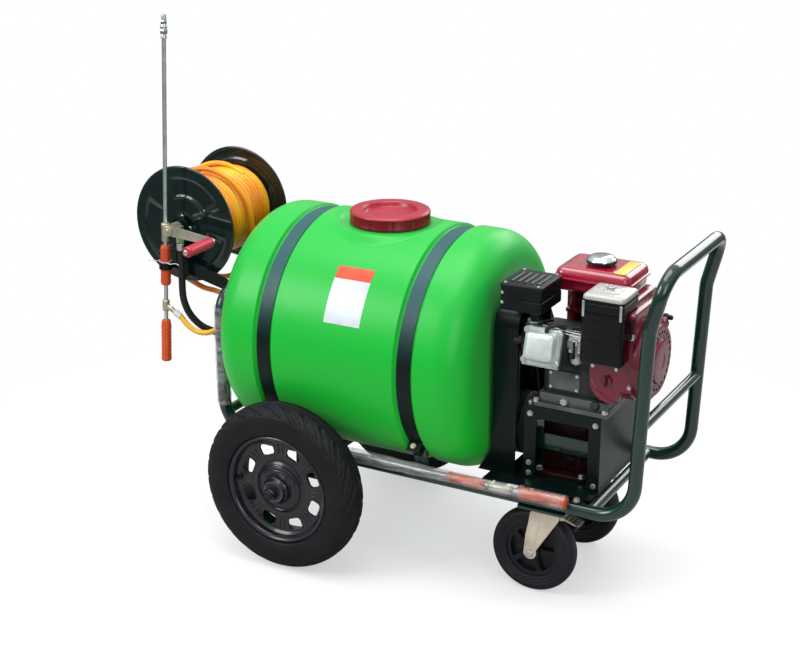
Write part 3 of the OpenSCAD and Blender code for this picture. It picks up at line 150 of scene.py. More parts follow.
# ---- materials ----------------------------------------------------------------------------
class Mat:
    """A small helper round one node material."""

    def __init__(self, name, colour, rough, metal=0.0, **sockets):
        self.m = bpy.data.materials.new(name)
        self.m.use_nodes = True
        self.t = self.m.node_tree
        self.bsdf = self.t.nodes["Principled BSDF"]
        sockets.update(Base_Color=(*colour, 1), Roughness=rough, Metallic=metal)
        for k, v in sockets.items():
            self.bsdf.inputs[k.replace("_", " ")].default_value = v
        self.coord = self.node("ShaderNodeTexCoord")

    def node(self, kind, **values):
        return add_node(self.t, kind, **values)

    def link(self, a, b):
        self.t.links.new(a, b)

    def noise(self, scale, detail=3, stretch=None, distortion=0.0):
        n = self.node("ShaderNodeTexNoise", Scale=scale, Detail=detail, Roughness=0.55,
            Distortion=distortion)
        place = self.coord.outputs["Object"]
        if stretch:
            mapping = self.node("ShaderNodeMapping", Scale=stretch)
            self.link(place, mapping.inputs["Vector"])
            place = mapping.outputs[0]
        self.link(place, n.inputs["Vector"])
        return n.outputs["Fac"]

    def ramp(self, fac, stops):
        r = self.node("ShaderNodeValToRGB")
        while len(r.color_ramp.elements) < len(stops):
            r.color_ramp.elements.new(0.5)
        for e, (p, c) in zip(r.color_ramp.elements, stops):
            e.position, e.color = p, (*c, 1)
        self.link(fac, r.inputs[0])
        return r.outputs[0]

    def colour(self, fac, stops):
        self.link(self.ramp(fac, stops), self.bsdf.inputs["Base Color"])

    def range(self, socket, fac, a, b):
        n = self.node("ShaderNodeMapRange", To_Min=a, To_Max=b)
        self.link(fac, n.inputs["Value"])
        self.link(n.outputs[0], self.bsdf.inputs[socket])

    def bump(self, height, strength):
        n = self.node("ShaderNodeBump", Strength=strength, Distance=0.001)
        self.link(height, n.inputs["Height"])
        self.link(n.outputs[0], self.bsdf.inputs["Normal"])

    def paint_light_by_height(self, low, high, a, b):
        """A colour that changes with height over the piece, broken up a little by soft noise: painted light
        and shade by height.
        """
        split = self.node("ShaderNodeSeparateXYZ")
        self.link(self.coord.outputs["Generated"], split.inputs[0])
        uneven = self.node("ShaderNodeMath", operation="MULTIPLY_ADD")
        self.link(self.noise(4, 4), uneven.inputs[0])
        uneven.inputs[1].default_value = 0.16
        self.link(split.outputs["Z"], uneven.inputs[2])
        self.colour(uneven.outputs[0], [(a + 0.08, low), (b + 0.08, high)])

    def dust(self, shade, amount, scale):
        """A thin uneven veil of dust over the colour that the material has so far."""
        mix = self.node("ShaderNodeMixRGB", Color2=(*shade, 1))
        now = self.bsdf.inputs["Base Color"]
        self.link(now.links[0].from_socket, mix.inputs["Color1"])
        n = self.node("ShaderNodeMapRange", From_Min=0.35, From_Max=0.8, To_Min=0, To_Max=amount)
        self.link(self.noise(scale, 6), n.inputs["Value"])
        self.link(n.outputs[0], mix.inputs["Fac"])
        self.link(mix.outputs[0], now)


def plain(name, dark, light, rough, metal=0.0, scale=14, grain=300, bump=0.15, gloss=0.5, coat=0.0,
          coat_rough=0.03, **sockets):
    """Two shades, given in thousandths, mixed by soft noise, with a fine bump."""
    dark, light = ([v / 1000 for v in shade] for shade in (dark, light))
    m = Mat(name, light, rough, metal, Specular_IOR_Level=gloss, Coat_Weight=coat,
        Coat_Roughness=coat_rough, **sockets)
    m.colour(m.noise(scale, 4), [(0.3, dark), (0.7, light)])
    m.range("Roughness", m.noise(scale * 3, 3), rough * 0.8, min(1, rough * 1.25))
    m.bump(m.noise(grain, 2), bump)
    return m


# Each row: name, dark and light shade, roughness, metal, scale of the shades, grain, bump, gloss, coat
paint = plain("frame_green_paint", (2, 17, 13), (4, 28, 21), 0.2, 0, 7, 70, 0.08, 0.35, 0.75, 0.04)
paint_dark = plain("frame_dark_paint", (1, 5, 4), (2, 9, 8), 0.3, 0, 8, 80, 0.08, 0.14, 0.14, 0.1)
reel_paint = plain("reel_paint", (1, 8, 7), (2, 15, 13), 0.22, 0, 7, 60, 0.1, 0.25, 0.7, 0.05)
strap_paint = plain("strap_paint", (10, 26, 32), (16, 38, 46), 0.36, 0, 9, 120, 0.08, 0.22)
# Nearly black low on the strap and blue-grey higher up: painted shade and light by height.
strap_paint.paint_light_by_height((0.001, 0.008, 0.007), (0.026, 0.088, 0.092), 0.48, 0.80)
tank_green = plain("tank_plastic", (4, 400, 30), (8, 480, 42), 0.36, 0, 3.5, 90, 0.05, 0.3, 0.05, 0.25,
    Sheen_Weight=0.08)
# Brighter, deeper green low on the tank and darker higher up: painted light and shade by height.
tank_green.paint_light_by_height((0.001, 0.58, 0.024), (0.006, 0.41, 0.038), 0.12, 0.78)
lid_red = plain("lid_plastic", (290, 7, 22), (360, 11, 30), 0.3, 0, 6, 140, 0.05)
# A darker copy of the lid's red for the side of its rim: painted shade.
lid_painted_shade = plain("lid_plastic_painted_shade", (120, 2, 5), (160, 3, 7), 0.36, 0, 6, 140, 0.05, 0.3)
tyre_black = plain("tyre_rubber", (3, 3, 4), (7, 7, 9), 0.55, 0, 10, 420, 0.2, 0.22)
tyre_black.dust((0.024, 0.024, 0.027), 0.28, 14)
rim_black = plain("rim_paint", (4, 4, 7), (9, 9, 14), 0.3, 0, 9, 160, 0.06, 0.35, 0.45, 0.12)
rubber_black = plain("hose_rubber", (5, 5, 6), (12, 12, 13), 0.46, 0, 12, 380, 0.2, 0.35)
caster_black = plain("caster_rubber", (6, 6, 9), (12, 11, 17), 0.5, 0, 16, 420, 0.2, 0.28)
hub_black = plain("hub_plastic", (4, 4, 5), (9, 9, 11), 0.4, 0, 20, 350, 0.15, 0.3)
plastic_black = plain("black_plastic", (2, 2, 3), (6, 6, 7), 0.32, 0, 14, 500, 0.1, 0.22)
heat_black = plain("heat_paint", (2, 4, 4), (5, 8, 8), 0.38, 0, 18, 260, 0.15, 0.2)
zinc = plain("zinc_plate", (420, 380, 260), (660, 630, 520), 0.34, 0.85, 26, 240, 0.12)
fork_zinc = plain("fork_zinc", (660, 540, 420), (860, 760, 620), 0.36, 0.6, 18, 200, 0.08)
steel = plain("steel", (520, 530, 540), (700, 710, 720), 0.34, 0.95, 30, 300, 0.02)
brass = plain("brass_metal", (420, 270, 90), (620, 420, 160), 0.3, 1, 24, 300, 0.08)
chrome = plain("chrome", (620, 700, 700), (800, 840, 840), 0.1, 1, 12, 200, 0.02)
alloy = plain("cast_alloy", (420, 430, 430), (640, 650, 650), 0.42, 0.8, 22, 420, 0.35)
alloy_grey = plain("dark_alloy", (18, 21, 22), (50, 54, 55), 0.45, 0.5, 26, 400, 0.3)
sump_grey = plain("sump_alloy", (80, 90, 90), (170, 180, 180), 0.42, 0.6, 20, 380, 0.3)
engine_red = plain("engine_red_paint", (260, 4, 22), (380, 8, 34), 0.2, 0, 7, 120, 0.06, 0.5, 0.9, 0.06)
cowl_red = plain("cowl_red_paint", (120, 2, 14), (200, 4, 22), 0.24, 0, 7, 140, 0.06, 0.35, 0.6, 0.08)
cover_grey = plain("grey_cover", (340, 330, 310), (480, 460, 430), 0.26, 0, 9, 200, 0.06, 0.5, 0.5, 0.12)
alloy_bright = plain("bright_casting", (460, 520, 500), (660, 720, 700), 0.4, 0.4, 20, 500, 0.3)
recoil_red = plain("recoil_paint", (110, 4, 14), (180, 8, 26), 0.3, 0, 8, 160, 0.08, 0.35, 0.4, 0.12)
pump_red = plain("pump_paint", (8, 1, 1.5), (22, 1.5, 2.5), 0.42, 0, 12, 200, 0.2, 0.3)
red_plastic = plain("red_plastic", (420, 10, 40), (500, 20, 60), 0.32, 0, 20, 300, 0.08)
knob_red = plain("knob_plastic", (40, 2, 6), (70, 3, 9), 0.35, 0, 20, 300, 0.08)
grip_orange = plain("orange_plastic", (550, 55, 10), (700, 90, 16), 0.3, 0, 22, 260, 0.08,
    Subsurface_Weight=0.1)
white_patch = plain("bare_label", (500, 550, 580), (600, 650, 680), 0.25, 0, 30, 200, 0.03)
red_patch = plain("label_band", (600, 60, 20), (680, 90, 40), 0.25, 0, 30, 200, 0.03)
yellow_patch = plain("yellow_patch", (750, 420, 30), (850, 520, 50), 0.3, 0, 30, 200, 0.03)
film = Mat("clear_film", (0.4, 0.4, 0.4), 0.12, Specular_IOR_Level=0.8)
# Whitish streaks in the film's colour and opacity: partly its own milky haze, partly painted highlight.
film.colour(film.noise(30, 5, (0.4, 1.5, 1.5), distortion=1.5),
    [(0.40, (0.30, 0.30, 0.30)), (0.62, (0.85, 0.84, 0.83))])
film.link(film.ramp(film.noise(42, 4, (0.4, 1.5, 1.5), distortion=1.0),
    [(0.38, (0.08, 0.08, 0.08)), (0.74, (0.38, 0.38, 0.38))]), film.bsdf.inputs["Alpha"])
white_nylon = plain("white_nylon", (600, 600, 580), (740, 740, 720), 0.4, 0, 30, 300, 0.05)

hose_yellow = Mat("yellow_hose", (0.8, 0.35, 0.01), 0.34, Coat_Weight=0.12, Coat_Roughness=0.2,
    Specular_IOR_Level=0.4)
hose_yellow.colour(hose_yellow.noise(5.5, 3, (1.2, 2.2, 0.6)), [
    (0.30, (0.56, 0.115, 0.002)), (0.50, (0.72, 0.225, 0.003)), (0.68, (0.84, 0.43, 0.010))])
# A paler copy of the hose's colour for its hanging tail: painted light.
hose_painted_light = plain("painted_light_hose", (780, 380, 10), (880, 560, 30), 0.32, 0, 8, 420, 0.1)
hose_yellow.range("Roughness", hose_yellow.noise(60, 3), 0.24, 0.40)
hose_yellow.bump(hose_yellow.noise(420, 2), 0.12)


def dress(node, look):
    """Gives a CAD node one look all over."""
    mats = NODES[node].data.materials
    if not len(mats):
        mats.append(look.m)
    for i in range(len(mats)):
        mats[i] = look.m


# ---- mesh helpers; all shapes are given in millimetres, like mm() ---------------------------
def aim(axis, origin=(0, 0, 0), roll=None):
    """Matrix that carries +Z to axis and puts the origin at a point."""
    z = Vector(axis).normalized()
    x = Vector(roll) if roll else (Vector((0, 0, 1)) if abs(z.z) < 0.9 else Vector((1, 0, 0)))
    x = (x - z * x.dot(z)).normalized()
    y = z.cross(x)
    m = Matrix((x, y, z)).transposed().to_4x4()
    m.translation = Vector(origin)
    return m


def shift(x=0, y=0, z=0):
    return Matrix.Translation((x, y, z))


class Piece:
    """Collects faces in millimetres, then makes one object of them."""

    def __init__(self, *looks):
        self.v, self.f, self.m, self.looks = [], [], [], looks

    def add(self, verts, faces, mat=0, at=None):
        b = len(self.v)
        self.v += [at @ Vector(v) for v in verts] if at else [Vector(v) for v in verts]
        self.f += [tuple(b + i for i in f) for f in faces]
        self.m += [mat] * len(faces)
        return self

    def loft(self, rings, mat=0, at=None, caps=True):
        """Skins equal closed loops of points; caps closes both ends."""
        n = len(rings[0])
        verts = [p for r in rings for p in r]
        faces = [(i * n + k, i * n + (k + 1) % n, (i + 1) * n + (k + 1) % n, (i + 1) * n + k)
                 for i in range(len(rings) - 1) for k in range(n)]
        if caps:
            faces += [tuple(range(n - 1, -1, -1)), tuple((len(rings) - 1) * n + k for k in range(n))]
        return self.add(verts, faces, mat, at)

    def lathe(self, profile, n=48, mat=0, at=None, caps=False, wave=None):
        """Turns [(radius, height)...] round +Z. wave(angle, i) may change a radius."""
        rings = []
        for i, (r, h) in enumerate(profile):
            ring = []
            for a in around(n):
                rr = max(r, 1e-4) + (wave(a, i) if wave else 0)
                ring.append((rr * cos(a), rr * sin(a), h))
            rings.append(ring)
        return self.loft(rings, mat, at, caps)

    def rod(self, r, a, b, n=48, mat=0, at=None):
        """A plain round rod from a to b along +Z."""
        return self.lathe([(r, a), (r, b)], n, mat, at, True)

    def tube(self, pts, r, n=14, mat=0, at=None):
        """A round tube along points; r is one radius or one for each point."""
        pts = [Vector(p) for p in pts]
        rings, side = [], None
        for i, p in enumerate(pts):
            t = (pts[min(i + 1, len(pts) - 1)] - pts[max(i - 1, 0)]).normalized()
            if side is None:
                side = t.orthogonal().normalized()
            side = (side - t * side.dot(t)).normalized()
            up = t.cross(side)
            rr = r[i] if isinstance(r, (list, tuple)) else r
            rings.append([p + (side * cos(a) + up * sin(a)) * rr for a in around(n)])
        return self.loft(rings, mat, at)

    def block(self, a, b, r=0.0, bevel=1.0, mat=0, at=None, n=5):
        """A box between two corners, upright edges rounded by r and top and bottom by bevel."""
        w, d = b[0] - a[0], b[1] - a[1]
        c = ((a[0] + b[0]) / 2, (a[1] + b[1]) / 2)
        r = max(r, bevel, 0.2)
        layers = [(a[2] + bevel * (1 - cos(t * pi / 6)), bevel * (1 - sin(t * pi / 6)))
            for t in (0, 1, 2, 3)]
        layers += [(b[2] - (z - a[2]), i) for z, i in reversed(layers)]
        return self.stack(c, w, d, r, layers, mat, at, n)

    def stack(self, c, w, d, r, layers, mat=0, at=None, n=6):
        """Rounded rectangles at the heights of layers [(z, inset)...], skinned and closed."""
        return self.loft([[(x, y, z) for x, y in round_rect(c, w - 2 * i, d - 2 * i, max(r - i, 0.1), n)]
                          for z, i in layers], mat, at)

    def hexagon(self, af, h, mat=0, at=None, wash=0.0):
        """A hexagon head with chamfered corners, and a washer of radius wash under it."""
        r = af / 2 / cos(pi / 6)
        rings = []
        for z, k in ((0, 1), (h * 0.78, 1), (h, 0.88)):
            rings.append([(r * k * cos(pi / 3 * i), r * k * sin(pi / 3 * i), z) for i in range(6)])
        self.loft(rings, mat, at)
        if wash:
            self.lathe([(0, -1.5), (wash, -1.5), (wash, 0), (0, 0)], 24, mat, at)
        return self

    def bolts(self, places, axis, af, h, mat, wash):
        """A hexagon head at each place, pointing along axis."""
        for q in places:
            self.hexagon(af, h, mat, aim(axis, q), wash)

    def grip(self, low, r, z, n, high, mat, at):
        """A grip with six lobes and n steps of ribs from height z, between two turned ends."""
        ribs = [(r - 0.9 * (k % 2), z + 5 * k) for k in range(n)]
        self.lathe(low + ribs + high, 36, mat, at, True,
                   lambda a, i: -0.35 * (1 + cos(6 * a)) if 3 <= i < 3 + n else 0)

    def make(self, nodes, body="cart", sharp=34, bevel=0.0, name=None):
        """One object of the faces so far, in place of the CAD nodes and riding on the body."""
        nodes = nodes.split()
        if not name:
            kind, _, side = nodes[0].rpartition("_")
            name = f"{kind}_detail_{side}" if side in ("near", "far") else nodes[0] + "_detail"
        me = bpy.data.meshes.new(name)
        me.from_pydata([mm(*v) for v in self.v], [], self.f)
        bm = bmesh.new()
        bm.from_mesh(me)
        for f, m in zip(bm.faces, self.m):
            f.material_index = m
        bmesh.ops.remove_doubles(bm, verts=bm.verts, dist=2e-6)
        bmesh.ops.dissolve_degenerate(bm, edges=bm.edges, dist=1e-6)
        bmesh.ops.recalc_face_normals(bm, faces=bm.faces)
        if bevel:
            edges = [e for e in bm.edges if len(e.link_faces) == 2 and e.calc_face_angle(0) > radians(32)]
            bmesh.ops.bevel(bm, geom=edges, offset=bevel / 1000, segments=2, affect="EDGES", profile=0.5,
                            clamp_overlap=True)
        for f in bm.faces:
            f.smooth = True
        bm.to_mesh(me)
        bm.free()
        me.set_sharp_from_angle(angle=radians(sharp))
        for look in self.looks:
            me.materials.append(look.m)
        o = bpy.data.objects.new(name, me)
        scene.collection.objects.link(o)
        if body:
            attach(o, body)
        if nodes:
            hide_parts(*nodes)
        for n in nodes:
            dress(n, self.looks[0])
        return o


def round_rect(c, w, d, r, n=6):
    """Corners of a w by d rectangle round c, each rounded by r in n steps."""
    pts = []
    r = min(r, w / 2 - 0.01, d / 2 - 0.01)
    for q, (sx, sy) in enumerate(((1, 1), (-1, 1), (-1, -1), (1, -1))):
        for k in range(n + 1):
            a = pi / 2 * (q + k / n)
            pts.append((c[0] + sx * (w / 2 - r) + r * cos(a), c[1] + sy * (d / 2 - r) + r * sin(a)))
    return pts


def circle(r, z, n):
    """Loop of n points round +Z at a height."""
    return [(r * cos(a), r * sin(a), z) for a in around(n)]


def arc(c, r, a0, a1, n):
    """Points on a circle, angles in degrees."""
    return [(c[0] + r * cosd(a0 + (a1 - a0) * k / n), c[1] + r * sind(a0 + (a1 - a0) * k / n))
            for k in range(n + 1)]


def smooth(pts, steps):
    """Catmull-Rom curve through points, the same as the one the hoses follow."""
    out = []
    pts = [Vector(p) for p in pts]
    last = len(pts) - 1
    for i in range(last):
        a, b, c, d = pts[max(i - 1, 0)], pts[i], pts[i + 1], pts[min(i + 2, last)]
        for s in range(steps):
            t = s / steps
            out.append(0.5 * (2 * b + (c - a) * t + (2 * a - 5 * b + 4 * c - d) * t * t
                              + (3 * b - a - 3 * c + d) * t ** 3))
    return out + [pts[last]]


def between(rows, x):
    """Value at x on the straight lines between rows of (x, value)."""
    for (a, ya), (b, yb) in zip(rows, rows[1:]):
        if x <= b:
            return ya + (yb - ya) * max(0, x - a) / (b - a)
    return rows[-1][1]


def wobble(p, scale, seed=0.0):
    return noise.noise(Vector(p) * scale + Vector((seed, seed * 1.7, seed * 0.6)))


# ---- hoses --------------------------------------------------------------------------------
REEL = Vector((-402, 0, 762))
FEED = [(-387, -165, 727.7), (-387, -165, 680), (-386, -166, 630), (-384, -166, 580), (-374, -156, 538),
    (-352, -140, 505), (-322, -122, 487), (-284, -104, 468), (-262, -70, 444), (-256, -20, 404),
    (-262, 50, 356), (-268, 90, 322), (-268, 116, 296), (-258, 138, 272), (-232, 150, 256),
    (-190, 154, 252), (-100, 154, 252), (150, 154, 252), (400, 154, 252), (460, 154, 272), (520, 154, 298),
    (596, 152, 322), (644, 142, 339), (663, 122, 349), (666, 100, 351), (666, 86.3, 351)]
SUCTION = [(453.3, 96, 322), (467, 96, 322), (492, 94, 323), (520, 83, 332), (543, 64, 343), (557, 53, 347),
    (567.7, 53, 347)]
RETURN = [(650, 66.3, 397), (650, 80, 397), (642, 112, 400), (604, 142, 414), (550, 160, 460),
    (500, 160, 540), (482, 132, 622), (466, 120, 640), (453.3, 120, 640)]
TAIL = [(-413, -166, 539.1), (-396, -166, 529.8), (-372, -166, 508), (-342, -164, 496), (-308, -160, 501),
    (-282, -152, 522), (-276, -134, 556), (-294, -108, 584), (-340, -84, 583)]
SLACK = []
for i in range(20):
    a = radians(i * 30)
    rr = 121.5 + 56 * max(0, cos(a)) ** 2 - (0, 6, 15)[max(0, i - 17)]
    SLACK.append((REEL.x - rr * sin(a), -70 + 140 * i * 30 / 576, REEL.z - rr * cos(a)))

p = Piece(steel, white_nylon)
for end, d, r, m in ((FEED[0], DOWN, 9.6, 0), (FEED[-1], FAR, 9.6, 0), (SUCTION[0], BACK, 11.6, 0),
        (SUCTION[-1], FRONT, 11.6, 0), (TAIL[0], (0.876, 0, -0.482), 8.4, 1)):
    p.lathe([(r - 1, 2), (r, 3), (r, 20), (r - 1, 21)], 24, m, aim(d, end), True)
p.make("", name="hose_clamps")


def hose(name, pts, steps, r, looks, node, pale=0):
    """A hose on its route; the first pale rings take the second look."""
    line = smooth(pts, steps)
    p = Piece(*looks)
    p.tube(line, r, 16)
    p.m[:pale * 16] = [1] * (pale * 16)
    o = p.make(node, name=name)


hose("feed_hose_detail", FEED, 6, 8.9, [rubber_black], "pump_hoses")
hose("return_hose_detail", RETURN, 6, 6.4, [rubber_black], "pump_hoses")
# The tail's first rings take the paler copy: painted light.
hose("spray_hose_detail", TAIL + SLACK, 7, 6.9, [hose_yellow, hose_painted_light], "spray_hose", 44)
p = Piece(rubber_black)
p.tube(smooth(SUCTION, 6), 10.9, 18)
p.make("pump_hoses", name="suction_hose_detail")

# The wound hose: one layer of turns that shows, over the solid that carries it
HALF, D = 119, 14.1
OUTLINE = [(-119, 103), (-95, 111), (0, 109), (79, 112), (119, 102)]      # place on the drum and radius

p = Piece(hose_yellow)
turns, steps = 16.4, 44
line = []
for i in range(int(turns * steps) + 1):
    a = 2 * pi * i / steps
    y = -HALF + D / 2 + (2 * HALF - D) * i / (turns * steps)
    y += 1.6 * sin(a + 0.6) * (1 - abs(y) / HALF)
    rr = between(OUTLINE, y) - D / 2 - 0.6 + 0.5 * wobble((i * 0.07, 0, 0), 1, 3)
    line.append((REEL.x + rr * sin(a), y, REEL.z + rr * cos(a)))
p.tube(line, D / 2 - 0.15, 12)
p.lathe([(46, -HALF + 1), (94, -HALF + 1), (98, 0), (94, HALF - 1), (46, HALF - 1)], 64, 0, aim(FAR, REEL),
    True)
p.make("hose_winding", "reel")

# White tie round the lance grip and the pump's hose, with its loose ends
p = Piece(white_nylon)
loop = [(-436 + 16 * cos(a), -166 + 15.5 * sin(a), 672 + 1.5 * sin(2 * a)) for a in around(30) + [2 * pi]]
p.tube(loop, 1.1, 8)
p.tube(smooth([(-424, -177, 672), (-410, -182, 671), (-396, -177, 673), (-382, -182, 672)], 6), 1.1, 8)
p.tube(smooth([(-452, -176, 672), (-464, -182, 673), (-478, -180, 671)], 6), 1.1, 8)
p.make("", name="lance_tie")

# ---- reel ---------------------------------------------------------------------------------
p = Piece(reel_paint, steel)
for s in (-1, 1):
    at = aim((0, s, 0), (REEL.x, 0, REEL.z), UP)
    rings = []
    radii = [8, 20, 29, 31, 40, 52, 60, 64, *range(66, 82, 3), 88, 96, 104, *range(108, 127, 3)]
    radii += [132, 140, 143, 146]
    for side in (0, 1):
        for r in (radii if side else reversed(radii)):
            ring = []
            for a in around(168):
                dy = 0.0
                for c in (radians(100), radians(220), radians(340)):
                    da = (a - c + pi) % (2 * pi) - pi
                    edge = max(abs(r - 96) / 24, abs(da) / radians(38))
                    dy += -3.2 * max(0.0, min(1.0, (1.0 - edge) / 0.14))
                    dy += 1.8 * max(0.0, 1 - abs(edge - 1.08) / 0.09)
                dy += 1.2 if r <= 29 else 0
                ring.append((r * cos(a), r * sin(a), 122.4 + dy + (2.2 if side == 0 else 0)))
            rings.append(ring)
        if side == 0:
            rings.append(circle(7.9, 121, 168))
    p.loft(rings, 0, at, False)
    lip = [(146 + 4.6 * cosd(t) - 1.4, 122.2 + 2.6 * sind(t)) for t in range(-180, 181, 30)]
    p.lathe(lip, 168, 0, at)
    for t in (10, 130, 250):
        p.hexagon(10, 5, 1, at @ shift(21 * cosd(t), 21 * sind(t), 125.8), 7)
p.rod(8, -200, 160, 32, 1, aim(FAR, REEL))
p.rod(45, -121, 121, 48, 0, aim(FAR, REEL))
p.make("reel_drum", "reel", sharp=40)

# Crank arm with its hub and rounded corners, and the grip on its pin
crank = aim(NEAR, (REEL.x, -186, REEL.z), (cosd(5), 0, -sind(5)))
pin = crank @ shift(128)
p = Piece(zinc, steel)
outline = arc((0, 0), 13, 100, 260, 10) + arc((128, 0), 9, -80, 80, 8)
p.loft([[(x, y, z) for x, y in outline] for z in (0, 0.6, 7.4, 8)], 0, crank)
p.lathe([(13, -4), (13, 13), (11.5, 14.2), (7, 14.2), (6, 16), (0, 16)], 32, 0, crank, True)
p.rod(4, 0, 112, 20, 0, pin)
p.lathe([(6.5, 108.8), (6.5, 112), (5, 113), (0, 113)], 24, 0, pin, True)
p.make("crank_arm", "reel")
p = Piece(red_plastic)
ribs = [(13.0 + 0.4 * (k % 2), 16 + 6 * k) for k in range(13)]
p.lathe([(5, 8.4), (12, 8.4), (13.4, 11), (13.4, 14), *ribs, (13.4, 100), (13.2, 104), (11.5, 107.4),
    (5, 108.3)], 40, 0, pin, True)
p.make("crank_grip", "crank_handle", sharp=50)

# ---- tank ---------------------------------------------------------------------------------
R, TX0, TX1, EDGE, GROOVE = 290, -221, 453, 72, 9
STRAPS = (-70, 310)
NX, SEAT = 122, 807               # filler centre and the height of the seat round its neck
AXIS_Z = 530                      # the tank's axis


def ease(t):
    t = min(1, max(0, t))
    return t * t * (3 - 2 * t)


def tank_profile():
    """Radius along the tank from its front end, with soft groove edges."""
    out = [(0.01, TX0 + 3), (60, TX0 + 2.4), (150, TX0 + 0.9), (R - EDGE - 14, TX0 + 0.2)]
    out += [(R - EDGE + EDGE * sind(t), TX0 + EDGE - EDGE * cosd(t)) for t in range(0, 90, 6)]
    xs = [TX0 + EDGE + 2, TX1 - EDGE - 2] + [3.5 * k for k in range(-10, 80)]
    for g in STRAPS:
        xs += [g + s * d for s in (-1, 1) for d in (18, 20, 21.5, 23, 24, 25, 27, 30)]
    for x in sorted(xs):
        out.append((R - GROOVE * sum(ease((27 - abs(x - g)) / 5.5) for g in STRAPS), x))
    out += [(R - EDGE + EDGE * cosd(t), TX1 - EDGE + EDGE * sind(t)) for t in range(6, 91, 6)]
    out += [(R - EDGE - 14, TX1 - 0.2), (150, TX1 - 0.9), (60, TX1 - 2.4), (0.01, TX1 - 3)]
    return out


p = Piece(tank_green, plastic_black)
at = aim(BACK, (0, 0, AXIS_Z))
turns = [radians(t) for t in range(-30, 31)] + [radians(30 + 3 * k) for k in range(1, 100)]
rings = []
for r, x in tank_profile():
    ring = []
    for a in turns:
        h, y = r * cos(a), r * sin(a)
        d = sqrt((x - NX) ** 2 + y * y)
        if h > 0 and d < 140:
            h += (min(h, SEAT - AXIS_Z) - 2 - h) * ease((139 - d) / 10)
        ring.append((h, y, x))
    rings.append(ring)
p.loft(rings, 0, at)
neck = shift(NX, 0, 0)
seat = []
for d, up, share in ((141, -1.2, 0), (138.5, 0.15, 0), (135, 0.3, 0.03), (131, 0.3, 0.12), (127, 0.3, 0.28),
        (123, 0.3, 0.50), (119, 0.3, 0.72), (115.5, 0.2, 0.88), (112, 0.1, 0.97), (109, 0, 1), (98, 0.4, 1),
        (90, 0.4, 1), (88.2, 1.6, 1), (87.5, 5, 1)):
    ring = []
    for a in around(120):
        skin = AXIS_Z + sqrt(R * R - (d * sin(a)) ** 2)
        ring.append((d * cos(a), d * sin(a), skin * (1 - share) + SEAT * share + up))
    seat.append(ring)
p.loft(seat, 0, neck, False)
p.lathe([(87.5, 806), (87.5, 826), (86, 828), (81.5, 828), (80, 826), (80, 790)], 96, 0, neck)
p.make("tank_shell", sharp=50, name="tank_detail")

# Lid with lobed rim, sunk bowl and a soft pull ring; the rim's side is in a darker copy of its red, painted
# shade
p = Piece(lid_red, lid_painted_shade)


def lobes(a, i):
    """Twelve narrow grooves all the way up the rim, but for its lowest edge."""
    return -1.8 if i >= 1 and (a * 12 / (2 * pi)) % 1 < 0.09 else 0


p.lathe([(89.3, 810), (93.5, 809.2), (98.2, 810.4), (98.9, 812.6), (98.2, 815), (97.2, 817), (97.2, 832),
    (96.6, 834.6)], 180, 1, neck, False, lobes)
p.lathe([(96.8, 834.4), (98, 835), (98.4, 836.4), (96.8, 839), (94, 840.8), (88, 842.4), (78, 843),
    (70, 842.6), (66, 841.2), (64.2, 838.5), (62.8, 831), (60, 828.8), (20, 828.2), (0.01, 828.2)],
    144, 0, neck)
p.lathe([(89.3, 810), (89.3, 826.5), (0.01, 826.5)], 96, 0, neck)
p.make("tank_lid", "lid", sharp=48)

# Label patch with a header band and no print, laid on the tank's curve
p = Piece(white_patch, red_patch)
LABEL_X, LABEL_L = 93, 96
nx, na = 8, 16
for a0, a1, m in ((20.2, 41.8, 0), (41.8, 48.4, 1)):
    verts, faces = [], []
    for layer in (0.12, 0.5):
        for i in range(nx + 1):
            for k in range(na + 1):
                a = radians(a0 + (a1 - a0) * k / na)
                rr = R + layer
                verts.append((LABEL_X + LABEL_L * i / nx, -rr * cos(a), AXIS_Z + rr * sin(a)))
    row = na + 1
    off = (nx + 1) * row
    for i in range(nx):
        for k in range(na):
            q = [i * row + k, (i + 1) * row + k, (i + 1) * row + k + 1, i * row + k + 1]
            faces += [[off + t for t in q], q[::-1]]
    rim = [(i, 0) for i in range(nx + 1)] + [(nx, k) for k in range(1, na + 1)]
    rim += [(i, na) for i in range(nx - 1, -1, -1)] + [(0, k) for k in range(na - 1, 0, -1)]
    ids = [i * row + k for i, k in rim]
    for s, t in zip(ids, ids[1:] + ids[:1]):
        faces.append([s, t, t + off, s + off])
    p.add(verts, faces, m)
p.make("", name="label_patch")

# ---- main wheels --------------------------------------------------------------------------
SIDES = (("near", -1), ("far", 1))
WHEEL_Y, WHEEL_R = 313, 210       # half the track, and the tyre's radius
TYRE = [(127.2, 33.4), (137.2, 33.9), (138.4, 38.2), (141.5, 41.2), (150, 44.2), (163, 45.9), (176, 45.6),
    (186, 43.6), (194, 40), (200, 34.5), (204.5, 27.5), (207.6, 19.5), (209.3, 11), (209.9, 4)]


def wheel_centre(s):
    """Frame at a wheel's centre with +Z outwards; s is -1 for near and 1 for far."""
    return aim((0, s, 0), (0, s * WHEEL_Y, WHEEL_R), UP)


def side_points():
    """The tyre's section as [radius, half width, share of the way from bead to crown]."""
    pts = smooth([(r, h, 0) for r, h in TYRE], 3)
    return [(q.x, q.y, i / (len(pts) - 1)) for i, q in enumerate(pts)]


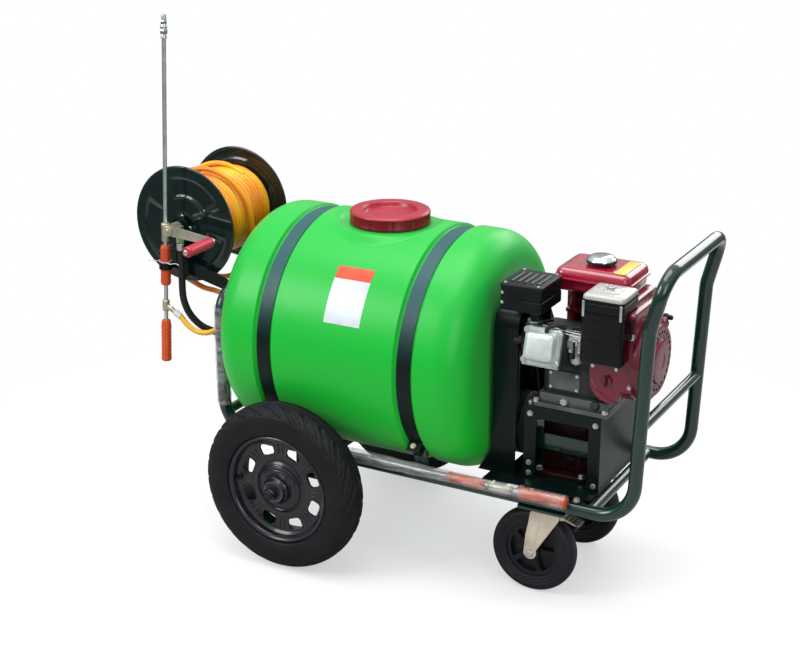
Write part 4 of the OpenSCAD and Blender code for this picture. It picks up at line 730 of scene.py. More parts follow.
def tread(a, u, s):
    """Depth of the tread grooves; u is 1 at the crown and 0 at the bead, s the side."""
    if u < 0.58:
        return -0.8 * max(0, 1 - abs(u - 0.27) / 0.02) - 0.6 * max(0, 1 - abs(u - 0.50) / 0.02)
    t = (1 - u) / 0.42
    ph = (a * 24 / (2 * pi) + (0.5 if s > 0 else 0) + 0.95 * t + 0.35 * t * t) % 1
    cut = min(1, max(0, (0.13 + 0.07 * t - abs(ph - 0.5)) / 0.035))
    ends = min(1, max(0, (t - 0.06) / 0.05)) * min(1, max(0, (1.0 - t) / 0.08))
    short = min(1, max(0, (0.05 - abs((ph + 0.5) % 1 - 0.5)) / 0.03))
    short *= min(1, max(0, (t - 0.30) / 0.06)) * min(1, max(0, (0.86 - t) / 0.06))
    return -5.2 * cut * ends - 3.4 * short


for side, s in SIDES:
    at = wheel_centre(s)
    p = Piece(tyre_black)
    pts = side_points()
    section = [(r, h, u, 1) for r, h, u in pts] + [(WHEEL_R, 0, 1.0, 1)]
    section += [(r, -h, u, -1) for r, h, u in reversed(pts)]
    rings = []
    for r, h, u, q in section:
        ring = []
        for a in around(648):
            d = -3.4 if u == 1.0 else tread(a, u, q)
            rr = r + d * (0.5 + 0.5 * u)
            hh = h + (d * 0.5 if h > 0 else -d * 0.5) * (1 - u) * 1.6
            ring.append((rr * cos(a), rr * sin(a), hh))
        rings.append(ring)
    p.loft(rings, 0, at, False)
    p.lathe([(127.5, -34), (130, -30), (130, 30), (127.5, 34)], 96, 0, at)
    p.make("tyre_" + side, "wheel_" + side, sharp=38)

# ---- lances -------------------------------------------------------------------------------
lance = aim((sind(2.8), 0, cosd(2.8)), (-447, -166, 402), BACK)
p = Piece(steel, grip_orange, zinc, chrome)
p.rod(5.3, 84, 836, 24, 0, lance)
p.lathe([(7.5, 834), (7.5, 840), (6.4, 842), (6.4, 852)], 24, 0, lance, True)
p.hexagon(17, 10, 3, lance @ shift(z=846))
p.lathe([(7.4, 857), (8.6, 859), (8.6, 864), (7, 866), (7, 872)], 28, 3, lance, True)
p.hexagon(14, 8, 3, lance @ shift(z=870))
p.lathe([(6, 876), (6, 890), (5, 894), (3.2, 896), (0, 896)], 28, 0, lance, True)
p.lathe([(8, 322), (9.8, 324), (9.8, 366), (8, 368)], 28, 2, lance, True)
p.hexagon(20, 12, 2, lance @ shift(z=358))
p.hexagon(18, 9, 2, lance @ shift(z=324))
p.rod(4.6, 165, 210, 20, 0, lance)
p.grip([(11.0, 208), (12.4, 210), (13.3, 216)], 13.3, 222, 16, [(13.3, 303), (12.4, 309), (10.5, 312)],
    1, lance)
p.lathe([(7, 136), (9.3, 139), (9.3, 164), (7, 166)], 28, 2, lance, True)
branch = lance @ shift(z=152) @ turn(radians(116), "Y")
p.lathe([(6.8, 0), (6.8, 22), (6, 24), (6, 30)], 24, 2, branch, True)
p.hexagon(14, 9, 2, branch @ shift(z=11))
p.make("lance_tube", sharp=40)
p = Piece(grip_orange)
p.grip([(8.5, 0), (11.6, 0.8), (13.2, 4)], 13.3, 8, 17, [(13.2, 95), (12, 104), (10.6, 111), (8, 112)],
    0, lance)
p.make("lance_knob", "spray_grip", sharp=50)

spare = aim(BACK, (0, -214, 278), UP)
p = Piece(steel, grip_orange, zinc)
p.rod(5.3, 118, 400, 20, 0, spare)
p.lathe([(9.5, 392), (11.8, 396), (11.8, 484), (9.5, 488)], 32, 1, spare, True,
    lambda a, i: -0.4 * (1 + cos(6 * a)))
p.rod(5.3, 486, 580, 20, 0, spare)
p.lathe([(8.6, 500), (9.9, 503), (9.9, 556), (8.6, 560)], 28, 2, spare, True)
p.hexagon(19, 11, 2, spare @ shift(z=503))
p.hexagon(19, 11, 2, spare @ shift(z=545))
p.grip([(10.0, 576), (12.6, 578), (13.7, 585)], 13.8, 590, 19, [(13.6, 686), (12.6, 692), (10, 694)],
    1, spare)
p.make("spare_lance", sharp=40)


# Thin clear sleeves on the spare lance and the front post
def sleeve(name, pts, r, seed):
    """A crinkled tube of film 0.3 mm thick round a straight line; r is its radius along the way."""
    n = 70
    step = (Vector(pts[1]) - Vector(pts[0])) / n
    wide = [r(i / n) for i in range(n + 1)]
    rings = []
    for inner, order in ((0, range(n + 1)), (0.3, range(n, -1, -1))):
        for i in order:
            ring = []
            for a in around(26):
                rr = wide[i] - inner + 1.6 * wobble((cos(a), sin(a), 0.11 * i), 1.7, seed)
                ring.append((rr * cos(a), rr * sin(a), i * step.length))
            rings.append(ring)
    p = Piece(film)
    p.loft(rings + rings[:1], 0, aim(step, pts[0]), False)
    o = p.make("", sharp=60, name=name)


sleeve("lance_film", ((121, -214, 278), (692, -214, 278)), lambda t: 17.5 - 3.5 * sin(pi * t) ** 2, 2)
sleeve("post_film", ((-252, -191, 330), (-252, -191, 590)), lambda t: 18.6, 5)

# ---- engine -------------------------------------------------------------------------------
CRY, CRZ = -50, 594                # crankshaft
SX = 806.3                        # where the recoil cover starts
BORE_X = 606                      # the cylinder leans 15 degrees up from the near side
crank_axis = aim(BACK, (0, CRY, CRZ), UP)
bore = aim((0, -cosd(15), sind(15)), (BORE_X, CRY, CRZ), BACK)

# Fuel tank: two pressed halves with a seam flange, a filler neck and a bare yellow patch
p = Piece(engine_red, yellow_patch)
c = (667.5, 17)
FILLER = (666, 14)
p.stack(c, 193, 154, 26, [(722, 20), (723.5, 14), (727, 10), (735, 8.5), (750, 8), (751.6, 7), (752, 0.4),
    (752.6, 0), (755.4, 0), (756, 0.4), (756.4, 5), (762, 5.5), (768, 7), (772.5, 10), (775.6, 15),
    (777.2, 22), (777.8, 25.5), (778, 25.8)], n=9)
for s in (-1, 1):
    p.block((c[0] + s * 60 - 8, -13, 632), (c[0] + s * 60 + 8, 47, 724), 3, 1)
p.lathe([(27, 777.5), (25.5, 780), (23.5, 781.6), (20.5, 782.6), (20, 778)], 48, 0, shift(*FILLER, 0))
p.block((716, -40, 777.6), (744, 66, 778.6), 6, 0.4, 1)
p.make("fuel_tank", sharp=32)

p = Piece(chrome, rubber_black)
cap = shift(*FILLER, 778)
p.lathe([(0, -5), (19, -5), (19, 5.4), (34.4, 5.5), (35, 6.5), (35, 10), (34, 11)], 96, 1, cap, False,
    lambda a, i: -0.9 * max(0, cos(24 * a)) if 3 <= i <= 5 else 0)
p.lathe([(34, 11), (33.6, 13.5), (31, 15.5), (28.6, 16.4), (27, 19.6), (23, 21), (8, 21.4), (0, 21.4)],
    72, 0, cap)
p.make("fuel_cap", "cap", sharp=46)

# Muffler: pressed box, slotted guard on top, header pipe and outlet
p = Piece(heat_black, sump_grey, steel)
box = (554, -126)
p.stack(box, 102, 122, 9, [(703, 5), (704, 1.4), (706, 0), (729, 0), (730, 1.2), (733, 1.2), (734, 0),
    (757, 0)], n=5)
p.stack(box, 104, 124, 10, [(756, 0.5), (757, 0), (762.5, 0), (765, 1.5), (766, 5)], n=5)
for k in range(5):
    x = 522.5 + 16 * k
    p.block((x - 4.5, -166, 765.4), (x + 4.5, -86, 767.4), 4.4, 0.5)
    p.block((x - 2.6, -162, 766.4), (x + 2.6, -90, 767.8), 2.4, 0.3, 1)
for k in range(6):
    p.block((518, -188.4, 712 + 7 * k), (556, -187, 714.6 + 7 * k), 0.8, 0.4, 0)
p.tube([(566, -136, 706), (566, -136, 692), (570, -135, 680), (576, -133, 668)], 12, 20, 0)
p.rod(17, 670, 674, 24, 2, shift(570, -136, 0))
p.lathe([(11, 0), (11, 5.4), (9.6, 5.6), (9.4, 1), (0, 1)], 28, 2, aim(FRONT, (502.5, -154, 737)))
p.bolts([(x, y, 765.2) for y in (-178, -74) for x in (514, 594)], UP, 7, 3, 2, 4.6)
for z in (745, 722):
    p.lathe([(3.6, 0), (3.6, 1.8), (2.6, 2.4), (0, 2.4)], 14, 2, aim(NEAR, (511, -187.4, z)), True)
p.make("muffler")

# Air cleaner: ribbed box, lid with its lip and a wing nut
p = Piece(plastic_black, cover_grey, steel)
p.stack((740, -148), 99.4, 33.6, 9, [(604, 4), (605, 1.5), (607, 0.4), (610, 0), (722, 0)], n=5)
lid = (740, -114.5)
p.stack(lid, 99.4, 100.4, 10, [(722, 2), (724, 0.4), (727, 0), (742, 0), (743, 1.2), (745.5, 1.2),
    (746.5, 0), (752, 0)], n=6)
for k in range(7):
    p.block((696, -165.4, 620 + 15 * k), (784, -164.2, 622 + 15 * k), 0.7, 0.5)
for s in (-1, 1):
    p.block((740 + 44 * s - 3, -165.8, 712), (740 + 44 * s + 3, -163.6, 748), 1, 0.6, 2)
p.stack(lid, 98, 99, 11, [(751.5, 0.4), (752, 0), (757, 0), (760.5, 1.6), (762.6, 5), (763.6, 9),
    (764, 10.6)], mat=1, n=6)
p.stack(lid, 52, 54, 8, [(763.6, 0), (765.6, 0.8), (766.2, 3)], mat=1, n=5)
wing = shift(*lid, 764)
p.lathe([(9, 1.8), (9, 3.2), (6.5, 3.4), (6, 8), (4, 9), (3.2, 12.6), (0, 12.8)], 24, 2, wing, True)
for s in (-1, 1):
    p.tube([(s * 4, 0, 4), (s * 9, 0, 7), (s * 12.2, 0, 11), (s * 12, 0, 12.4)], [2.2, 2.4, 2.2, 1.2],
        10, 2, wing)
p.make("air_cleaner")

# Carburetor: body, float bowl, screws, rods, a return spring and the fuel hose
p = Piece(alloy, steel, rubber_black, plastic_black)
p.block((656, -148, 613), (688, -109, 651), 4, 1.5)
p.lathe([(19, 0), (19, 5), (13, 6), (13, 34)], 28, 0, aim(BACK, (655, -129, 632)), True)
p.lathe([(0, 583), (8, 583), (12, 585), (14.6, 590), (15, 600), (16.4, 601), (16.4, 605), (14, 606),
    (13, 614)], 32, 0, shift(670, -129, 0), True)
p.hexagon(10, 3, 1, aim(DOWN, (670, -129, 583.5)), 6)
for z, x in product((645, 618), (661, 684)):
    p.lathe([(3.4, 0), (3.4, 2.2), (2.2, 3), (0, 3)], 14, 1, aim(NEAR, (x, -148, z)), True)
p.tube(smooth([(656, -120, 604), (648, -118, 592), (650, -116, 572), (668, -112, 556)], 6), 3, 12, 2)
for z, y0 in ((655, -150), (660, -146)):
    p.tube(smooth([(690, y0, z), (664, y0 - 4, z + 3), (640, -156, z + 8), (600, -162, z + 14)], 5),
        1.3, 8, 1)
p.tube([(690 - 0.5 * k, -142 + 2.4 * cos(0.9 * k), 664 + 2.4 * sin(0.9 * k)) for k in range(110)],
    0.6, 6, 1)
p.block((654, -120, 651), (689, -112, 662), 3, 1, 3)
p.make("carburetor")

# Valve cover: stepped pressing with a bare face, four eared bolts and a breather hose
p = Piece(alloy_bright, steel, rubber_black)
p.stack((0, 0), 80, 84, 13, [(132.2, 0.8), (132.8, 0), (135.6, 0), (136, 0.5)], at=bore, n=6)
p.stack((0, 0), 74, 68, 14, [(135.8, -1.5), (137.5, 0), (149, 2.2), (152.4, 3.4), (154.8, 5.8), (156, 9),
    (156.4, 13)], at=bore, n=8)
p.stack((0, -1), 56, 46, 8, [(155.6, -1.5), (156.7, 0), (157.1, 1.2)], at=bore, n=6)
for x, y in product((-38, 38), (-34, 34)):
    p.lathe([(8, 132.4), (8, 137), (6.6, 138)], 24, 0, bore @ shift(x, y), True)
    p.hexagon(10, 4, 1, bore @ shift(x, y, 137.6), 6.2)
p.tube(smooth([bore @ Vector(q) for q in ((10, 34, 140), (12, 44, 142), (26, 52, 134), (44, 50, 116))], 5),
    4.4, 12, 2)
p.make("valve_cover")

# Block: base with bolts, crankcase, covers, finned cylinder and head, plug and its lead
p = Piece(alloy_grey, alloy, steel, rubber_black, sump_grey)
p.block((564, -126, 460.2), (748, 48, 471), 6, 1.5, 4)
p.block((574, -116, 470), (742, 38, 493), 8, 2, 4)
p.block((578, -104, 492), (736, 20, 614), 14, 3)
p.lathe([(0, 554), (19, 554), (27, 554.6), (28, 556), (28, 567), (46, 568), (52, 569), (57, 574), (58, 580),
    (58, 764), (54, 770), (0, 770)], 64, 0, crank_axis)
angles = [radians(20 + k * 360 / 7) for k in range(7)]
p.bolts([(568, CRY + 44 * cos(a), CRZ + 44 * sin(a)) for a in angles], FRONT, 9, 3.4, 2, 6)
p.bolts(product((572, 740), (-121, 43), (472.5,)), UP, 13, 7, 2, 7)
p.lathe([(10, 0), (10, 10), (8, 12), (0, 12)], 20, 3, aim((0, -0.8, 0.5), (716, -112, 482)), True)
p.hexagon(17, 8, 1, aim(NEAR, (640, -115.5, 481)), 11)
p.block((596, -107.4, 504), (672, -103, 550), 8, 1.5, 4)
p.bolts([(x, -107.2, z) for z in (510, 544) for x in (602, 666)], NEAR, 8, 4, 2, 5)
p.block((-36, -36, 30), (36, 36, 122), 5, 0.5, 0, bore)
for k in range(7):
    p.block((-46, -46, 64 + 9 * k), (46, 46, 66.6 + 9 * k), 8, 0.8, 0, bore, 4)
p.block((-44, -43, 120), (44, 43, 131.9), 8, 1.2, 1, bore)
for k in range(5):
    p.block((-43.4, -46, 121 + 2.3 * k), (43.4, -42, 122.2 + 2.3 * k), 1.4, 0.3, 1, bore, 3)
plug = bore @ shift(-42, 4, 118) @ turn(radians(-62), "Y")
p.lathe([(5, 0), (5, 5), (7.5, 6), (7.5, 10), (4.5, 11), (6.2, 12), (7, 17), (7, 27), (5.6, 31), (0, 32)],
    24, 3, plug)
lead = [bore @ Vector(q) for q in ((-66, 4, 106), (-74, 8, 88), (-66, 22, 62), (-46, 44, 44),
    (-16, 54, 40))]
p.tube(smooth(lead, 6), 3.2, 12, 3)
p.make("engine_block")

# Fan cowl with its flat front and curved scoop
p = Piece(cowl_red, steel)
outline = [(CRY + 98 * cosd(a), CRZ + 98 * sind(a)) for a in [217.3 + 5.5 * k for k in range(33)]]
outline += arc((20, 708), 12, 0, 90, 5) + arc((-116, 708), 12, 90, 180, 5)
steps = ((772.2, 0.975), (773, 0.992), (775, 1), (799, 1), (803, 0.988), (805.9, 0.95))
p.loft([[(x, -48 + (y + 48) * k, 620 + (z - 620) * k) for y, z in outline] for x, k in steps])
lip = [(700, 560), (701, 543), (706, 527), (716, 513), (729, 504), (745, 499), (760, 500), (770, 506),
    (776, 516), (776, 600), (700, 600)]
steps = ((-108, 1), (-120, 1), (-124, 0.985), (-126, 0.95))
p.loft([[(740 + (x - 740) * k, y, 550 + (z - 550) * k) for x, z in lip] for y, k in steps])
p.tube(smooth([(704, -125.4, 556), (712, -126, 540), (730, -126.2, 524), (754, -126, 512),
    (774, -125.4, 505)], 6), 1.9, 10)
hood = ((-96, 668), (58, 668), (66, 716), (56, 733), (-66, 733), (-92, 716))
steps = ((760, 0.97), (762, 1), (782, 1), (786, 0.96))
p.loft([[(x, -40 + (y + 40) * k, 700 + (z - 700) * k) for y, z in hood] for x, k in steps])
p.block((580, 26, 600), (772, 30, 712), 5, 1, 0)
p.block((600, -34, 668), (772, 29, 676), 5, 1, 0)
p.bolts(((710, -126, 586), (766, -126, 586), (780, -128, 700), (798, -128, 548)), NEAR, 9, 3.4, 1, 5.5)
p.make("blower_housing", sharp=30, name="blower_detail")

# Recoil cover: turned shell with two rows of holes over the fan, and the rope guide
p = Piece(recoil_red, steel, plastic_black)
p.lathe([(94.5, SX), (95, SX + 1), (95, SX + 17), (93.5, SX + 19.5), (90, SX + 20.5), (84, SX + 21),
    (83, SX + 24), (82, SX + 29), (79, SX + 31.6), (74, SX + 32.2)], 96, 0, crank_axis)
n = 288
radii = (74, 70, 66.5, 63, 60, 56.5, 53)
verts = [q for r in radii for q in circle(r, SX + 32.2, n)]
faces = []
for i in range(6):
    for k in range(n):
        if not ((i in (1, 2) and k % 12 in (3, 4, 5, 6, 7, 8)) or (i == 4 and k % 12 in (0, 1, 10, 11))):
            faces.append((i * n + k, i * n + (k + 1) % n, (i + 1) * n + (k + 1) % n, (i + 1) * n + k))
p.add(verts, faces, 0, crank_axis)
p.lathe([(53, SX + 32.2), (52, SX + 34.5), (50, SX + 37), (46, SX + 38), (20, SX + 38), (19, SX + 36.8),
    (0, SX + 36.8)], 96, 0, crank_axis)
p.lathe([(0, SX + 12), (72, SX + 12)], 48, 2, crank_axis)
for a in around(18):
    p.block((22, -1, SX + 12), (76, 1, SX + 22), 0.6, 0.3, 2, crank_axis @ turn(a), 2)
p.lathe([(91, SX + 1), (79, SX + 4), (78, SX + 28)], 64, 0, crank_axis)
for t in (35, 155, 275):
    p.hexagon(8, 4, 1, crank_axis @ shift(88.5 * cosd(t), 88.5 * sind(t), SX + 20.8), 5)
pull = (0, sind(128), -cosd(128))
p.block((84, -13.6, SX + 1.2), (110.8, 13.6, SX + 18.8), 4, 2, 0, aim(BACK, (0, CRY, CRZ), pull))
p.make("recoil_cover", name="recoil_detail")

# Pull grip with its finger bar, and a short piece of rope from the cover to it
rope = aim(pull, (SX + 10, CRY + 89 * pull[1], CRZ + 89 * pull[2]), BACK)
p = Piece(plastic_black, white_nylon)
p.lathe([(0, 22.6), (4, 22.8), (6.8, 23.4), (7, 25), (6.6, 34.8), (0, 35.2)], 28, 0, rope)
p.tube([(-17 + 2 * k, 0, 29 + (0.6 if k in (0, 17) else 0)) for k in range(18)],
    [3.2, 5.2] + [5.9] * 14 + [5.2, 3.2], 20, 0, rope)
p.make("starter_grip", "starter", sharp=50)
p = Piece(white_nylon)
p.tube([(0, 0, -6 + 0.5 * k) for k in range(59)], 2.3, 12, 0, rope)
cord = p.make("", None, name="starter_rope")
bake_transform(cord)

# Small controls
p = Piece(plastic_black, steel)
at = aim(NEAR, (798, -128.3, 668), UP)
p.lathe([(7.8, 0), (7.8, 3.4), (7, 4), (3.4, 4.2), (3.2, 5), (0, 5)], 28, 1, at, True)
p.block((-4, -2.6, 3), (34, 2.6, 7), 2, 0.8, 0, at)
p.block((27, -4.8, 3.6), (40, 4.8, 12.6), 2.4, 2, 0, at)
p.make("throttle_lever", "throttle", sharp=40, name="throttle_detail")
p = Piece(plastic_black, steel)
at = aim(NEAR, (674, -150.3, 640), DOWN)
p.lathe([(6.8, 0), (6.8, 3.4), (6, 4), (3, 4.2), (2.8, 5), (0, 5)], 28, 1, at, True)
p.block((-4, -2.3, 3), (28, 2.3, 6.8), 2, 0.8, 0, at)
p.block((24.4, -3.8, 4), (35.8, 3.8, 9.8), 2, 1.6, 0, at)
p.make("choke_lever", "choke", sharp=40, name="choke_detail")
p = Piece(knob_red, cowl_red)
at = aim(NEAR, (744, -126.3, 554), UP)
p.lathe([(12.8, 0), (12.8, 4.4), (11.4, 5.8), (0, 5.8)], 36, 1, at, True)
p.block((-10.8, -2.8, 5), (10.8, 2.8, 13.8), 2, 1.4, 0, at)
p.make("engine_switch", "switch", sharp=40, name="switch_detail")

# ---- rims and axle ------------------------------------------------------------------------
# Pressed rims: dome, rounded windows with a rolled edge, ribs in pairs, bead flanges and hub
RIM = [(30, 30), (40, 29), (48, 26.8), (57, 22.4), (63, 17.4), (68, 14.6), (74, 14), (112, 14), (117, 15.4),
    (125, 22)]
WINDOWS = 8


def cell():
    """Matching loops: a window's rounded edge, and the border of its share of the disc."""
    hole, edge = [], []
    for q in range(4):
        for k in range(12):
            t = -1 + k / 6
            u, v = ((1, t), (-t, 1), (-1, -t), (t, -1))[q]
            x, y = 14 * u, 19 * v
            cx, cy = max(-4.5, min(4.5, x)), max(-9.5, min(9.5, y))
            d = sqrt((x - cx) ** 2 + (y - cy) ** 2)
            hole.append((98 + cx + (x - cx) * 9.5 / d, cy + (y - cy) * 9.5 / d))
            edge.append(((98 + 18 * u) * cos(v * pi / WINDOWS), (98 + 18 * u) * sin(v * pi / WINDOWS)))
    return hole, edge


def on_disc(hole, edge, t, lift, a):
    """Loop a share t of the way from hole to edge, laid on the dome and turned by a."""
    ring = []
    for (hx, hy), (ex, ey) in zip(hole, edge):
        x, y = hx + (ex - hx) * t, hy + (ey - hy) * t
        height = between(RIM, sqrt(x * x + y * y)) + lift
        ring.append((x * cos(a) - y * sin(a), x * sin(a) + y * cos(a), height))
    return ring


for side, s in SIDES:
    at = wheel_centre(s)
    p = Piece(rim_black, steel, rubber_black)
    step = 2 * pi / WINDOWS
    hole, edge = cell()
    for w in range(WINDOWS):
        mid = (w + 0.5) * step
        front = [(0, 0.7), (0.06, 1.3), (0.16, 1.2), (0.26, 0.3), (0.34, 0), (0.6, 0), (1, 0)]
        p.loft([on_disc(hole, edge, t, lift, mid) for t, lift in front], 0, at, False)
        p.loft([on_disc(hole, edge, t, -4 - 0.4 * lift, mid) for t, lift in front], 0, at, False)
        p.loft([on_disc(hole, edge, 0, lift, mid) for lift in (0.7, -4.3)], 0, at, False)
        for d in (-0.062, 0.062):
            rib = at @ turn(w * step + d)
            p.block((85, -1.6, 13), (111, 1.6, 15.8), 1.6, 1.1, 0, rib, 3)
    for lift in (0, -4):
        for lo_r, hi_r in ((30, 80.4), (115.4, 125)):
            rs = [lo_r + (hi_r - lo_r) * k / 14 for k in range(15)]
            p.lathe([(r, between(RIM, r) + lift) for r in rs], 128, 0, at)
    p.lathe([(123, 20), (124.5, 29), (126, 33.6), (129, 36.4), (131, 38.4), (133.6, 39), (136, 37.6),
        (136, 34.6), (131, 33.4), (127, 32), (127, -32), (131, -33.4), (136, -34.6), (136, -37.6),
        (133.6, -39), (130, -38.4), (126, -35), (123, -31), (123, 20)], 128, 0, at)
    p.lathe([(26.2, 49.4), (28, 50), (30, 47), (31, 43), (34, 40), (35, 34), (37, 31), (38, 31.4),
        (40, 31.4), (41, 29.9), (44, 29.4), (45, 29.6), (47, 28.9), (48, 27.6)], 96, 0, at)
    p.lathe([(56, 23.2), (57.4, 24.4), (59, 23.4), (60, 20.6)], 96, 0, at)
    p.lathe([(18.8, 53), (26.4, 49.8)], 48, 0, at)
    p.lathe([(32, 26), (32, -34.4), (31.4, -35), (26.2, -35), (26.2, 49.6)], 64, 0, at)
    stem = at @ turn(step * 2) @ shift(116, 0, 15)
    p.lathe([(5, 0), (5, 3), (3.4, 5), (3.2, 16), (2.6, 16.4), (2.6, 20), (0, 20.4)], 16, 2, stem)
    p.make("rim_" + side, "wheel_" + side)

# Axle with its threaded ends, washers and nuts; washers and nuts in the wheels' black paint, axle and
# threads in the hubs' black
p = Piece(rim_black, hub_black)
p.rod(12.45, -374, 374, 40, 1, aim(FAR, (0, 0, WHEEL_R)))
for side, s in SIDES:
    at = wheel_centre(s)
    p.lathe([(12.6, 51.3), (18.7, 51.3), (18.7, 54), (17.8, 54.3), (10, 54.3)], 40, 0, at)
    p.hexagon(29.6, 15.8, 0, at @ shift(z=54.3))
    p.lathe([(9.9, 68), (9.9, 74.6), (8.6, 76.6), (0, 76.8)], 32, 1, at)
    for k in range(4):
        p.lathe([(9.8, 70.4 + 1.5 * k), (10.5, 71 + 1.5 * k), (9.8, 71.7 + 1.5 * k)], 28, 1, at)
p.make("axle axle_nuts", sharp=40)

# ---- casters ------------------------------------------------------------------------------
SIDE = [(66, 13), (67, 18), (70.6, 19.6), (73.6, 20.7), (75, 20), (76.6, 20), (78, 21.1), (80.6, 21.7),
    (82, 20.9), (83.6, 20.9), (85, 22.1), (88, 22.8), (92, 22.9), (96, 21.6), (99.6, 19), (102.4, 14.6),
    (104.2, 9), (104.9, 3)]
CASTER_X, CASTER_Y, CASTER_R = 587, 137, 105
SWIVEL_X = 627                    # the swivel's axis; the wheel trails in front of it
for side, s in SIDES:
    y0 = s * CASTER_Y
    at = aim(NEAR, (CASTER_X, y0, CASTER_R), UP)
    p = Piece(caster_black, hub_black, steel)
    p.lathe(SIDE + [(r, -h) for r, h in reversed(SIDE)] + [SIDE[0]], 112, 0, at)
    p.lathe([(57, 13.4), (58, 14), (66.4, 14), (67, 13), (67, -13), (66.4, -14), (58, -14), (57, -13.4),
        (57, 13.4)], 72, 1, at)
    for k in range(5):
        spoke = at @ turn(2 * pi * (k + 0.75) / 5)
        for spans in (((14, 8.5, 12.6), (22, 6.6, 12.4), (40, 5.2, 12), (59, 7.4, 12.8)),
                ((18, 1.6, 13.6), (58, 1.6, 13.4))):
            p.loft([[(x, -w, -h), (x, w, -h), (x, w, h), (x, -w, h)] for x, w, h in spans], 1, spoke)
    p.lathe([(6.1, 24), (17, 24), (19.6, 22.6), (20, 20), (20, -20), (19.6, -22.6), (17, -24), (6.1, -24),
        (6.1, 24)], 40, 1, at)
    p.lathe([(19, 1.4), (58, 1.4), (58, -1.4), (19, -1.4)], 64, 1, at)
    for f in (1, -1):
        p.lathe([(6.2, 24.2 * f), (12, 24.2 * f), (12, 22 * f)], 28, 2, at)
    p.make("caster_wheel_" + side, "caster_roll_" + side)

    # Fork: crown plate, two bent legs with a swage, axle bolt and the brake's lugs
    p = Piece(fork_zinc, steel)
    leg = [(-38, 217), (30, 217), (31, 212), (30, 202), (-25.4, 112.4)] + arc((-40, 105), 16, 25, -180, 14)
    leg += [(-52, 150), (-42, 204)]
    for f in (-1, 1):
        ya, yb = y0 + 27 * f, y0 + 31 * f
        p.loft([[(SWIVEL_X + x, y, z) for x, z in leg] for y in (ya, yb)])
        for swage in (((-12, 214), (-18, 180), (-27, 140), (-30, 120)),
                ((-40, 212), (-44, 180), (-49, 140), (-51, 116))):
            p.tube([(SWIVEL_X + x, yb - 0.6 * f, z) for x, z in swage], [1.6, 2.2, 2.2, 1], 10)
        head = aim((0, f, 0), (CASTER_X, yb, CASTER_R))
        p.lathe([(0, 0), (11.5, 0), (11.5, 1.8), (0, 1.8)], 28, 1, head)
        p.hexagon(18, 7.6, 1, head @ shift(z=1.4))
        p.block((653, y0 + 20 * f - 2, 202), (667, y0 + 20 * f + 2, 215), 1.5, 0.6)
    p.rod(6, -31, 31, 24, 1, aim(FAR, (CASTER_X, y0, CASTER_R)))
    p.stack((621, y0), 72, 62, 10, [(214, 1), (215, 0), (218, 0), (219, 1)])
    p.lathe([(8.1, 213.4), (24, 213.4), (27, 214.4)], 40, 0, shift(SWIVEL_X, y0), False)
    p.make("caster_fork_" + side, "caster_" + side, bevel=0.5)

    # Brake pedal on its pin, with a ribbed pad; its punched holes are dark rubber discs, painted shade
    pin = (661, y0, 207)
    at = aim((sind(18), 0, cosd(18)), pin, (cosd(18), 0, -sind(18)))
    p = Piece(zinc, caster_black, steel)
    p.block((-3, -17.6, -4), (43, 17.6, 0), 3, 0.8, 0, at)
    p.block((36, -22.6, -14), (43, 22.6, -1.4), 2, 1.2, 1, at)
    for k in range(5):
        p.block((38, -20 + 9 * k - 1, -13.4), (43.8, -20 + 9 * k + 1, -2.4), 0.8, 0.5, 1, at)
    # Dark discs where the holes are: painted shade.
    for x, y in product((8, 18, 28), (-9, 0, 9)):
        p.lathe([(0, 0.25), (2.6, 0.25), (2.9, 0)], 16, 1, at @ shift(x, y))
    p.lathe([(0, -24), (2.9, -24), (2.9, 24), (0, 24)], 16, 2, aim(FAR, pin))
    for f in (1, -1):
        p.lathe([(0, 25.4), (4.2, 25.2), (5, 23.6), (5, 22.2), (0, 22.2)], 20, 2, aim((0, f, 0), pin))
    p.make("caster_brake_" + side, "brake_" + side)

# ---- pump, stand and guard ------------------------------------------------------------------
# Crankcase of the pump with its ribbed flank, cover, sight glass and three gland nuts
p = Piece(pump_red, alloy_grey, steel, plastic_black)
PUMP_Y, PUMP_Z = -20, 369          # pump shaft
PLUNGERS = (590, 625, 660)
shaft = aim(BACK, (0, PUMP_Y, PUMP_Z), UP)
p.block((562.5, -97.6, 277.2), (689.5, 57.6, 286.6), 8, 1.5)
p.block((566.5, -65.6, 285), (683.5, 19.6, 402.6), 12, 6)
p.lathe([(10.2, 566.4), (22, 566.4), (24, 568), (40, 568), (45, 571), (46, 576), (46, 674), (43, 681),
    (36, 683.6), (0, 683.6)], 56, 0, shaft)
for k in range(6):
    p.block((577 + 18 * k, -68.6, 290), (580 + 18 * k, -60, 372), 1.4, 0.8)
p.lathe([(11, 0), (11, 3), (9, 4.2), (0, 4.2)], 32, 3, aim(NEAR, (640, -65.6, 312)))
angles = [radians(60 * k) for k in range(6)]
p.bolts([(683.4, PUMP_Y + 34 * cos(a), PUMP_Z + 34 * sin(a)) for a in angles], BACK, 7, 3.4, 2, 4.5)
for x in PLUNGERS:
    g = aim(FAR, (x, 19, 373))
    p.lathe([(14.6, 0), (14.8, 14), (13, 15), (13, 20.6), (0, 20.6)], 28, 1, g)
    p.hexagon(22, 5, 2, g @ shift(z=14.4))
p.lathe([(10.6, 398), (10.6, 412), (12, 413), (12, 418), (10, 420.6), (0, 420.8)],
    28, 3, shift(625, -40, 0))
p.bolts(product((572, 678), (-88, 48), (286.8,)), UP, 13, 7, 2, 9)
p.make("pump_body")

